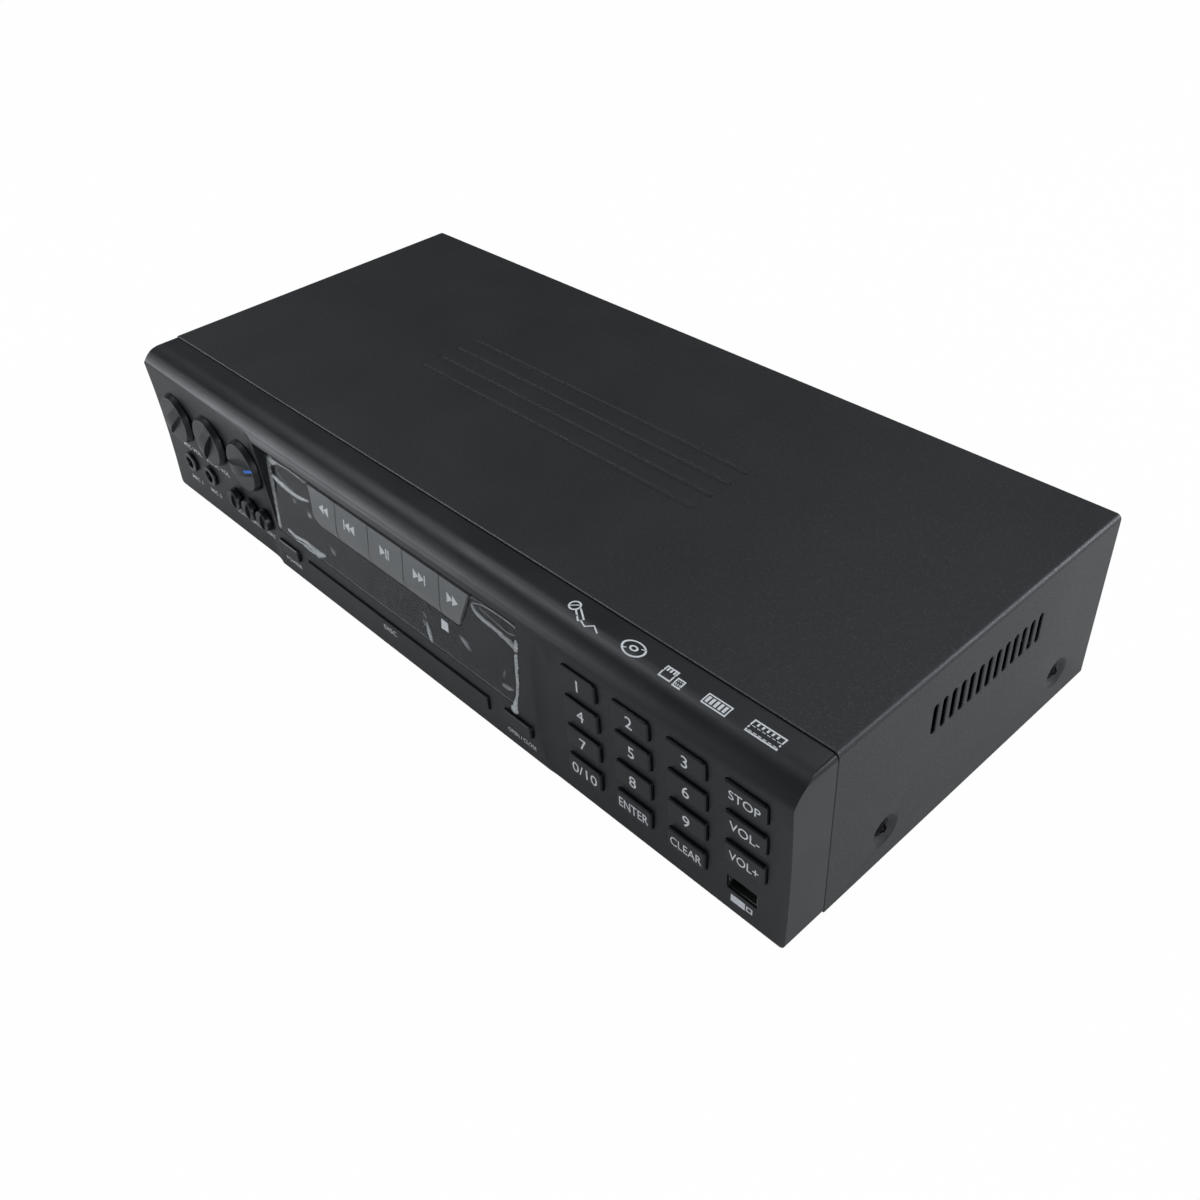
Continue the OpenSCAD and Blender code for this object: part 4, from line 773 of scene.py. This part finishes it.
def word(text, width, height):
    """A word as a thin slab on X and Z, its middle at the origin, stretched to a width and cap height."""
    curve = bpy.data.curves.new("word", "FONT")
    curve.body = text
    curve.resolution_u = 5
    curve.extrude = INK_HALF
    curve.offset = 0.003
    holder = placed("word", curve)
    mesh = plain_mesh(holder, "word_plain")
    bpy.data.objects.remove(holder)
    shape = bmesh.new()
    shape.from_mesh(mesh)
    xs = [v.co.x for v in shape.verts]
    ys = [v.co.y for v in shape.verts]
    wide, tall = max(xs) - min(xs), max(ys) - min(ys)
    across = width / wide if width else height / tall
    for v in shape.verts:
        x = (v.co.x - (max(xs) + min(xs)) / 2) * across
        z = (v.co.y - (max(ys) + min(ys)) / 2) * height / tall
        v.co = Vector((x, INK_HALF if v.co.z < 0 else -INK_HALF, z))
    return shape


class Sign:
    """Flat printed shapes drawn on X and Z."""

    def __init__(self):
        self.shape = bmesh.new()

    def area(self, points, hole=None):
        """A closed outline, or a band between two outlines of as many points."""
        layers = []
        for y in (-INK_HALF, INK_HALF):
            rims = [points] if hole is None else [points, hole]
            layers.append([[self.shape.verts.new((x, y, z)) for x, z in rim] for rim in rims])
        count = len(points)
        for front, back in zip(layers[0], layers[1]):
            for i in range(count):
                j = (i + 1) % count
                self.shape.faces.new((front[i], front[j], back[j], back[i]))
        for layer in layers:
            if hole is None:
                self.shape.faces.new(layer[0])
            else:
                for i in range(count):
                    j = (i + 1) % count
                    self.shape.faces.new((layer[0][i], layer[0][j], layer[1][j], layer[1][i]))
        return self

    def bar(self, x0, z0, x1, z1):
        return self.area([(x0, z0), (x1, z0), (x1, z1), (x0, z1)])

    def round(self, x, z, r, inner=None, wide=1.0, steps=28):
        rim = [(x + r * wide * math.cos(a), z + r * math.sin(a)) for a in turns(steps)]
        if inner is None:
            return self.area(rim)
        hole = [(x + inner * wide * math.cos(a), z + inner * math.sin(a)) for a in turns(steps)]
        return self.area(rim, hole)

    def line(self, points, thick):
        """A ribbon along points."""
        left, right = [], []
        for i, (x, z) in enumerate(points):
            ax, az = points[max(0, i - 1)]
            bx, bz = points[min(len(points) - 1, i + 1)]
            length = math.hypot(bx - ax, bz - az) or 1
            nx, nz = -(bz - az) / length * thick / 2, (bx - ax) / length * thick / 2
            left.append((x + nx, z + nz))
            right.append((x - nx, z - nz))
        for i in range(len(points) - 1):
            self.area([left[i], left[i + 1], right[i + 1], right[i]])
        return self

    def frame(self, x0, z0, x1, z1, t):
        hole = [(x0 + t, z0 + t), (x1 - t, z0 + t), (x1 - t, z1 - t), (x0 + t, z1 - t)]
        return self.area([(x0, z0), (x1, z0), (x1, z1), (x0, z1)], hole)

    def done(self):
        bmesh.ops.recalc_face_normals(self.shape, faces=self.shape.faces)
        return self.shape


def turns(steps):
    return [2 * math.pi * i / steps for i in range(steps)]


LOOKS = {"front": Vector((0, 1, 0)), "top": Vector((0, 0, -1)), "back": Vector((0, -1, 0))}
FAR = 300


def lay_on(shape, tree, x, z, lift=INK_HALF, side="front", angle=0.0):
    """Sets a flat shape at a place and presses each point onto a surface. On the top, z is the depth."""
    bmesh.ops.subdivide_edges(shape, edges=[e for e in shape.edges if e.calc_length() > 2.5], cuts=2)
    look = LOOKS[side]
    turn = Matrix.Rotation(angle, 3, "Y")
    for v in shape.verts:
        flat = turn @ v.co
        across = x - flat.x if side == "back" else x + flat.x
        start = Vector((across, z + flat.z, 0)) if side == "top" else Vector((across, 0, z + flat.z))
        hit = tree.ray_cast(start - look * FAR, look)[0]
        v.co = hit + look * (flat.y - lift)
    return shape


def joined(shapes):
    """Several shapes as one."""
    whole = bmesh.new()
    for shape in shapes:
        mesh = bpy.data.meshes.new("part")
        shape.to_mesh(mesh)
        shape.free()
        whole.from_mesh(mesh)
        bpy.data.meshes.remove(mesh)
    return whole


# What each key says, how wide it is set, or None for the font's own width, and how high
KEY_WORDS = {"key_%d" % n: (str(n), None, 5.5) for n in range(1, 10)}
KEY_WORDS.update({
    "key_0": ("0/10", 13.8, 5.2), "enter_key": ("ENTER", 15.2, 4.8), "clear_key": ("CLEAR", 15.2, 4.4),
    "stop_key": ("STOP", 13.6, 4.1), "volume_down_key": ("VOL-", 13.1, 4.3),
    "volume_up_key": ("VOL+", 13.1, 4.3),
})
for node, (text, width, height) in KEY_WORDS.items():
    low, high = box_mm(node)
    middle = (low + high) / 2
    letters = lay_on(word(text, width, height), surface_of(node), middle.x, middle.z - 0.6)
    piece(node + "_label", letters, node, [LABEL], even=60)


SIGN_HALF = 2.5
SIGN_Z = 55


def arrow(sign, x, way):
    sign.area([(x, -SIGN_HALF), (x + way * SIGN_HALF * 1.5, 0), (x, SIGN_HALF)][::way])


def transport_sign(node):
    sign = Sign()
    if node in ("rewind_key", "forward_key"):
        way = 1 if node == "forward_key" else -1
        arrow(sign, -3.6 * way, way)
        arrow(sign, 0.1 * way, way)
    elif node in ("previous_key", "next_key"):
        way = 1 if node == "next_key" else -1
        arrow(sign, -4.4 * way, way)
        arrow(sign, -0.7 * way, way)
        sign.bar(min(3.2 * way, 4 * way), -SIGN_HALF, max(3.2 * way, 4 * way), SIGN_HALF)
    else:
        arrow(sign, -3.2, 1)
        sign.bar(1, -SIGN_HALF, 1.8, SIGN_HALF)
        sign.bar(2.6, -SIGN_HALF, 3.4, SIGN_HALF)
    return sign.done()


SIGN_X = {"rewind_key": -56.2, "previous_key": -36.2, "play_key": -9.4, "next_key": 15.6, "forward_key": 37.7}
for node in TRANSPORT:
    sign = lay_on(transport_sign(node), surface_of(node), SIGN_X[node], SIGN_Z)
    piece(node + "_sign", sign, node, [LABEL], even=60)


def stick_sign():
    """A memory stick lying flat: its body and its plug."""
    return Sign().bar(-5, -1.7, 1.6, 1.7).frame(2.1, -1.3, 5, 1.3, 0.6).done()


def microphone_sign():
    sign = Sign().round(-7.2, 1.6, 2.6, 1.9).line([(-5.2, 0.2), (-0.4, -3.2), (1.0, -1.6), (-4.3, 1.8)], 0.7)
    sign.line([(0.6, -2.6), (3.4, -3.6), (6.2, -1.4), (9.6, -3.2)], 0.6)
    return sign.line([(-8.8, 0.2), (-5.8, 3.2)], 0.5).done()


def disc_sign():
    sign = Sign().round(0, 0, 3.6, 3.0, 1.5).round(0, 0, 1.3, 0.7, 1.5)
    return sign.line([(2.4, 1.3), (4.2, 2.0)], 0.45).line([(-4.2, -2.0), (-2.4, -1.3)], 0.45).done()


def card_sign():
    sign = Sign().frame(-5.2, -2.8, 0.6, 2.6, 0.6).frame(1.6, -3.2, 5.4, 0.6, 0.6)
    for step in range(3):
        sign.bar(-4.1 + step * 1.5, 0.4, -3.3 + step * 1.5, 1.9)
        sign.bar(2.5 + step * 0.9, -2.3, 2.9 + step * 0.9, -0.4)
    return sign.done()


def level_sign():
    sign = Sign().frame(-5.4, -2.4, 5.4, 2.4, 0.55)
    for step in range(5):
        sign.bar(-4.4 + step * 1.85, -1.4, -3.2 + step * 1.85, 1.4)
    return sign.done()


def keyboard_sign():
    sign = Sign().frame(-6.8, -2.9, 6.8, 2.9, 0.6)
    for step in range(6):
        sign.bar(-5.7 + step * 2.05, -2.1, -4.3 + step * 2.05, 0.2)
    for step in range(5):
        sign.bar(-4.7 + step * 2.05, 0.8, -3.9 + step * 2.05, 2.1)
    return sign.done()


def printed(name, shapes, finish, body="housing"):
    piece(name, joined(shapes), body, [finish], even=60)


panel = surface_of("front_panel")
brow_signs = [(microphone_sign, 107.5, 13.4), (disc_sign, 132.6, 13.2), (card_sign, 152.6, 12.5),
              (level_sign, 172.2, 12.4), (keyboard_sign, 192.6, 13)]
printed("brow_signs", [lay_on(draw(), panel, x, y, side="top") for draw, x, y in brow_signs], LABEL)
printed("socket_sign", [lay_on(stick_sign(), panel, 195.2, 6.6)], LABEL)
small_words = [("MIC VOL", 19, 2.5, -188, 32), ("MUSIC VOL", 23, 2.5, -161.5, 32),
               ("MIC 1", 11, 2.3, -192.6, 11.4), ("MIC 2", 11, 2.3, -172.6, 11.6),
               ("ECHO", 8.6, 2.2, -145.8, 11.4), ("BASS", 8.2, 2.2, -131.8, 11.6),
               ("TREBLE", 10, 2.2, -118.6, 11.8), ("POWER", 14, 2.2, -94.6, 7.2),
               ("OPEN / CLOSE", 17.5, 2.2, 77.6, 6.4)]
words = [lay_on(word(text, width, height), panel, x, z) for text, width, height, x, z in small_words]
printed("small_words", words, SMALL_LABEL)
tray_word = lay_on(word("DISC", 9.5, 2.6), surface_of("tray_door"), -11.4, 12.6)
printed("tray_word", [tray_word], SMALL_LABEL, "tray")

KNOB_POINTER_ANGLE = math.radians(13)
knob_low, knob_high = box_mm("master_volume_knob")
knob_middle = (knob_low + knob_high) / 2
pointer = Sign().bar(7, -0.75, 12.2, 0.75).done()
knob_face = surface_of("master_volume_knob")
lay_on(pointer, knob_face, knob_middle.x, knob_middle.z, 0.02, angle=-KNOB_POINTER_ANGLE)
printed("volume_pointer", [pointer], BLUE, "master_volume_knob")

window = surface_of("display_window")
square = Sign().area([(-2.3, 2.5), (2.2, 2.2), (2.5, -2.2), (-2.4, -2.4)]).done()
printed("window_mark", [lay_on(square, window, 30.4, 38)], LABEL)

BACK_WORDS = [("AC IN", 12, 2.6, -180, 45), ("VIDEO", 12, 2.2, 20, 53), ("L", 1.6, 2.2, 35, 53),
              ("R", 1.8, 2.2, 50, 53), ("OUT", 7, 2.2, 65, 53), ("SPEAKERS", 24, 2.6, 150, 55),
              ("L", 1.6, 2.2, 136, 18), ("R", 1.8, 2.2, 164, 18)]
rear = surface_of("rear_panel")
back = [lay_on(word(text, width, height), rear, x, z, side="back")
        for text, width, height, x, z in BACK_WORDS]
printed("back_words", back, SMALL_LABEL)


# The film, still on the window

# Each crease: how white its painted highlight is, how far it stands out, and its places and widths along the
# window
CREASES = {
    "left edge": (0.5, 0.35, [(-104.4, 61.6, 4.4), (-104, 54, 4.8), (-103, 46, 4.4), (-101.8, 36, 3.8),
                              (-100.6, 25, 3.6)]),
    "left corner": (0.75, 0.5, [(-104.4, 62, 2.4), (-101.4, 60.8, 4.2), (-96.3, 61.4, 1.6)]),
    "pocket roof": (0.42, 0.5, [(-97, 61.4, 1), (-88, 62.4, 0.8), (-79, 62.2, 0.9), (-71.5, 61.2, 0.9)]),
    "pocket floor": (0.75, 0.8, [(-102.4, 53.4, 1.6), (-98, 52.2, 2.8), (-92, 51.4, 3), (-86, 50.8, 2.8),
                                 (-78.5, 51, 2.2), (-70, 52.8, 1.2)]),
    "pocket line": (0.25, 0.2, [(-96.4, 57, 0.8), (-91, 53.6, 0.9), (-84, 52.7, 0.6)]),
    "left spot": (0.28, 0.5, [(-85.4, 47.6, 1.6), (-83.6, 47.2, 3.2), (-81.8, 47, 1.6)]),
    "bar spot": (0.4, 0.6, [(-72.6, 45.7, 2), (-70.8, 45.2, 4), (-69, 44.9, 1.8)]),
    "crumple": (0.62, 1.0, [(-93, 28.2, 1.2), (-86, 26.8, 2.3), (-79, 27.9, 1.5), (-72.8, 27.4, 3.4),
                            (-67, 26.4, 4.8), (-59.8, 28.6, 0.8)]),
    "crumple foot": (0.5, 0.8, [(-87, 24.8, 0.8), (-80, 25.7, 1.4), (-75, 25.2, 2), (-69, 25, 1.6)]),
    "crumple end": (0.32, 0.6, [(-55.4, 35.4, 1.4), (-53, 34, 3), (-51, 32.8, 1.2)]),
    "fold top": (0.28, 0.4, [(15.4, 37.2, 1), (16.7, 36, 1.9), (18, 35, 0.9)]),
    "fold middle": (0.32, 0.4, [(15, 33, 1.2), (16.3, 31.8, 2.2), (17.6, 30.6, 1.2)]),
    "fold": (0.5, 0.7, [(17.8, 33.4, 1), (19, 29.4, 3), (20.2, 26.2, 3.2), (21.2, 24.2, 1.6)]),
    "bubble": (0.36, 0.6, [(40.6, 38.6, 0.8), (44.3, 37, 3.6), (47.8, 34.7, 0.8)]),
    "loop floor": (0.6, 1.0, [(49, 59, 1), (51.5, 56.4, 2), (56, 55.2, 2.2), (62, 54.7, 2.2), (67.6, 54, 2.2),
                              (73, 53, 2.8), (77, 51, 3.4)]),
    "loop roof": (0.4, 0.4, [(49.4, 59.4, 0.6), (55, 61.3, 0.6), (61, 62.1, 0.7), (67, 62.2, 0.7),
                             (73, 62, 0.9), (78, 61, 1.4)]),
    "loop line": (0.32, 0.3, [(53, 59.3, 0.5), (59, 58.8, 0.6), (65, 57.8, 0.6), (70.6, 57, 0.6),
                              (76.6, 58, 0.5)]),
    "dash": (0.3, 0.3, [(69.2, 37.6, 0.7), (69, 35.6, 1.3), (68.8, 34, 0.6)]),
    "right spot": (0.36, 0.5, [(67.6, 29.8, 0.9), (71, 30.1, 2.8), (75, 31.1, 0.9)]),
}
# The long crease down the window's right edge, which lies on the window and on the panel
TAIL = [(80.6, 62.4, 3.6), (79.8, 58.6, 5.4), (79.3, 52.2, 4.2), (78.8, 44.3, 4), (78.3, 36, 3.3),
        (77.2, 29, 2.2), (76, 24.4, 2.8), (75.2, 20.6, 4), (75.4, 19.2, 2.6)]
FILM_STEP = 1.2
CREASE_STEP = 0.8
# The film's two faces lie this far in front of what it covers
FILM_GAPS = (0.12, 0.05)
# The window narrows downwards at this slope, and the film ends this far inside its edges
WINDOW_TAPER = 4.5 / 39
SIDE_MARGIN = 0.5
END_MARGIN = 0.4
ACROSS_CREASE = (-1, -0.55, 0, 0.55, 1)
WINDOW_LEAN = 0.123


def crease_path(places):
    """A smooth run through the places of a crease."""
    path = []
    for i in range(len(places) - 1):
        a = Vector(places[max(0, i - 1)])
        b = Vector(places[i])
        c = Vector(places[i + 1])
        d = Vector(places[min(len(places) - 1, i + 2)])
        pieces = max(1, round((c - b).length / CREASE_STEP))
        for k in range(pieces):
            t = k / pieces
            path.append(((2 * b) + (c - a) * t + (2 * a - 5 * b + 4 * c - d) * t * t
                         + (3 * b - a - 3 * c + d) * t ** 3) / 2)
    path.append(Vector(places[-1]))
    return path


def add_crease(shape, layer, tree, places, white, rise, edge=0.35):
    """A ridge of film along a path, closed underneath, standing on what the tree holds."""
    path = crease_path(places)
    rings = []
    for i, spot in enumerate(path):
        way = (path[min(i + 1, len(path) - 1)] - path[max(i - 1, 0)]).to_2d().normalized()
        side = Vector((-way.y, way.x))
        ragged = 1 + 0.5 * noise.noise(Vector((spot.x, spot.y, spot.z)) * 0.9)
        ends = min(1, 0.25 + min(i, len(path) - 1 - i) / 3)
        ring = []
        for under in (False, True):
            for k in (ACROSS_CREASE[::-1] if under else ACROSS_CREASE):
                x, z = spot.to_2d() + side * (k * spot.z * ragged / 2)
                hit = tree.ray_cast(Vector((x, -FAR, z)), LOOKS["front"])[0]
                behind = hit.y if hit else window_depth(z)
                height = 0.06 if under else 0.12 + (1 - k * k) * rise * ends * ragged
                v = shape.verts.new((x, behind - height, z))
                # Painted highlight: whitest along the crest of the ridge, fading to its sides and towards its
                # ends
                v[layer] = white * (edge + (1 - edge) * (1 - abs(k)) ** 0.5) * (0.6 + 0.4 * ends)
                ring.append(v)
        rings.append(ring)
    count = len(rings[0])
    for a, b in zip(rings, rings[1:]):
        for k in range(count):
            j = (k + 1) % count
            shape.faces.new((a[k], a[j], b[j], b[k]))
    shape.faces.new(rings[0])
    shape.faces.new(rings[-1][::-1])


def window_depth(z):
    """How far back the face of the leaning window lies at a height."""
    low = box_mm("display_window")[0]
    return low.y + WINDOW_LEAN * (z - low.z)


def film_piece(name, shape, instead_of=()):
    bmesh.ops.recalc_face_normals(shape, faces=shape.faces)
    return piece(name, shape, "housing", [FILM], instead_of, even=80)


def creases():
    shape = bmesh.new()
    layer = shape.verts.layers.float.new("crease")
    tree = surface_of("display_window", *TRANSPORT)
    for white, rise, places in CREASES.values():
        add_crease(shape, layer, tree, places, white, rise * 0.7)
    tree = surface_of("display_window", "front_panel")
    add_crease(shape, layer, tree, TAIL, 0.7, 0.9, 0.75)
    film_piece("film_creases", shape)


def film_sheet():
    """The flat of the film: a thin closed sheet drawn tight over the window and the bar of keys."""
    tree = surface_of("display_window", *TRANSPORT)
    low, high = box_mm("display_window")
    tall = high.z - low.z - 2 * END_MARGIN
    rows = round(tall / FILM_STEP)
    columns = round((high.x - low.x) / FILM_STEP)
    shape = bmesh.new()
    layer = shape.verts.layers.float.new("crease")
    grid = []
    for r in range(rows + 1):
        z = low.z + END_MARGIN + tall * r / rows
        inset = WINDOW_TAPER * (high.z - z) + SIDE_MARGIN
        line = []
        for c in range(columns + 1):
            x = low.x + inset + (high.x - low.x - 2 * inset) * c / columns
            hit = tree.ray_cast(Vector((x, -FAR, z)), LOOKS["front"])[0]
            line.append(Vector((x, hit.y if hit else window_depth(z), z)))
        grid.append(line)

    def foremost(r, c):
        """How far forward the film is pushed by what lies under a point and its neighbours."""
        near_rows = [grid[min(max(r + i, 0), rows)] for i in (-1, 0, 1)]
        return min(line[min(max(c + j, 0), columns)].y for line in near_rows for j in (-1, 0, 1))

    tight = [[foremost(r, c) for c in range(columns + 1)] for r in range(rows + 1)]
    layers = []
    for gap in FILM_GAPS:
        sheet = []
        for r in range(rows + 1):
            line = []
            for c in range(columns + 1):
                spot = grid[r][c]
                v = shape.verts.new((spot.x, tight[r][c] - gap, spot.z))
                rim = min(r, rows - r, c, columns - c)
                # A painted highlight along the rim of the film's front face
                v[layer] = 0.3 if rim == 0 and gap == FILM_GAPS[0] else 0
                line.append(v)
            sheet.append(line)
        layers.append(sheet)
    for k, sheet in enumerate(layers):
        for r in range(rows):
            for c in range(columns):
                loop = (sheet[r][c], sheet[r][c + 1], sheet[r + 1][c + 1], sheet[r + 1][c])
                shape.faces.new(loop if k == 0 else loop[::-1])
    front, behind = layers
    run = [(0, c) for c in range(columns)] + [(r, columns) for r in range(rows)]
    run += [(rows, c) for c in range(columns, 0, -1)] + [(r, 0) for r in range(rows, 0, -1)]
    for (r0, c0), (r1, c1) in zip(run, run[1:] + run[:1]):
        shape.faces.new((front[r0][c0], behind[r0][c0], behind[r1][c1], front[r1][c1]))
    film_piece("film_sheet", shape, ["window_film"])


film_sheet()
creases()


# Camera, lights and stage


LENS = 36.227
CAMERA_PLACE = (0.36327, -0.29991, 0.36000)
CAMERA_RIGHT = (0.68509, 0.72646, -0.05383)
CAMERA_FORWARD = (-0.58729, 0.50710, -0.63083)
COOL_WHITE = (0.9, 0.95, 1)
FLOOR_REACH = 6
FLOOR_GAP = 0.0001


def set_camera():
    """The camera stands where the photograph's edges put it."""
    lens = bpy.data.cameras.new("camera")
    lens.sensor_width = 36
    lens.lens = LENS
    lens.clip_start = 0.01
    lens.clip_end = 50
    camera = placed("camera", lens)
    right = Vector(CAMERA_RIGHT).normalized()
    forward = Vector(CAMERA_FORWARD).normalized()
    up = right.cross(forward).normalized()
    right = forward.cross(up).normalized()
    turn = Matrix((right, up, -forward)).transposed().to_4x4()
    camera.matrix_world = Matrix.Translation(CAMERA_PLACE) @ turn
    bpy.context.scene.camera = camera


def lamp(name, place, aim, width, height, watts, colour):
    light = bpy.data.lights.new(name, "AREA")
    light.shape = "RECTANGLE"
    light.size = width
    light.size_y = height
    light.energy = watts
    light.color = colour
    made = placed(name, light)
    made.location = place
    made.rotation_mode = "QUATERNION"
    made.rotation_quaternion = (Vector(aim) - Vector(place)).to_track_quat("-Z", "Y")


def pale_stage():
    """Floor and world, which the camera and glass see as white. The floor keeps a trace of the shadow."""
    made = Finish("pale_floor", (0.82, 0.82, 0.82), 0.7)
    rays = ("Is Camera Ray", "Is Glossy Ray", "Is Transmission Ray")
    seen, gloss, through = (made.add("ShaderNodeLightPath", None, None, ray) for ray in rays)
    white = made.add("ShaderNodeEmission", None, {"Color": (1, 1, 1), "Strength": 1.0})
    right = made.along("X").eased(120, 330)
    share = (seen * 0.985).most(gloss * (right * 0.5 + 0.08)).most(through * 0.9)
    mixed = made.add("ShaderNodeMixShader", None, {0: share, 1: Wire(made, made.shader.outputs[0]), 2: white})
    made.tree.links.new(mixed.socket, made.output.inputs["Surface"])
    mesh = bpy.data.meshes.new("floor")
    corners = [(x * FLOOR_REACH, y * FLOOR_REACH, 0) for x, y in ((-1, -1), (1, -1), (1, 1), (-1, 1))]
    mesh.from_pydata(corners, [], [(0, 1, 2, 3)])
    mesh.materials.append(made.material)
    floor = placed("floor", mesh)
    floor.location.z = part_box("feet")[0].z - FLOOR_GAP
    floor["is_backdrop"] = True
    world = bpy.data.worlds.new("studio")
    bpy.context.scene.world = world
    world.use_nodes = True
    tree = world.node_tree
    tree.nodes.clear()
    path = tree.nodes.new("ShaderNodeLightPath")
    share = tree.nodes.new("ShaderNodeMath")
    share.operation = "MAXIMUM"
    tree.links.new(path.outputs["Is Camera Ray"], share.inputs[0])
    tree.links.new(path.outputs["Is Transmission Ray"], share.inputs[1])
    mixed = tree.nodes.new("ShaderNodeMixShader")
    tree.links.new(share.outputs[0], mixed.inputs[0])
    for socket, colour, strength in ((1, COOL_WHITE, 0.12), (2, (1, 1, 1), 1.0)):
        light = tree.nodes.new("ShaderNodeBackground")
        light.inputs["Color"].default_value = (*colour, 1)
        light.inputs["Strength"].default_value = strength
        tree.links.new(light.outputs[0], mixed.inputs[socket])
    out = tree.nodes.new("ShaderNodeOutputWorld")
    tree.links.new(mixed.outputs[0], out.inputs["Surface"])


set_camera()
pale_stage()
lamp("overhead", (-0.85, -0.05, 1.3), (0, 0, 0), 0.4, 0.6, 5, COOL_WHITE)
lamp("ceiling", (-0.2, 0.9, 1.5), (0, 0, 0), 0.8, 0.7, 4, COOL_WHITE)
lamp("right_wall", (1.1, 1.25, 0.7), (0.15, 0, 0), 0.6, 0.6, 19, (0.88, 0.94, 1))
lamp("front_right", (1.6, -0.4, 0.45), (0, 0, 0), 0.5, 0.5, 8, COOL_WHITE)
lamp("front_left", (-1.0, -0.85, 0.3), (-0.15, 0, 0), 0.7, 0.6, 7, (0.92, 0.96, 1))
bpy.context.scene.view_settings.view_transform = "Standard"

low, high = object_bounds()
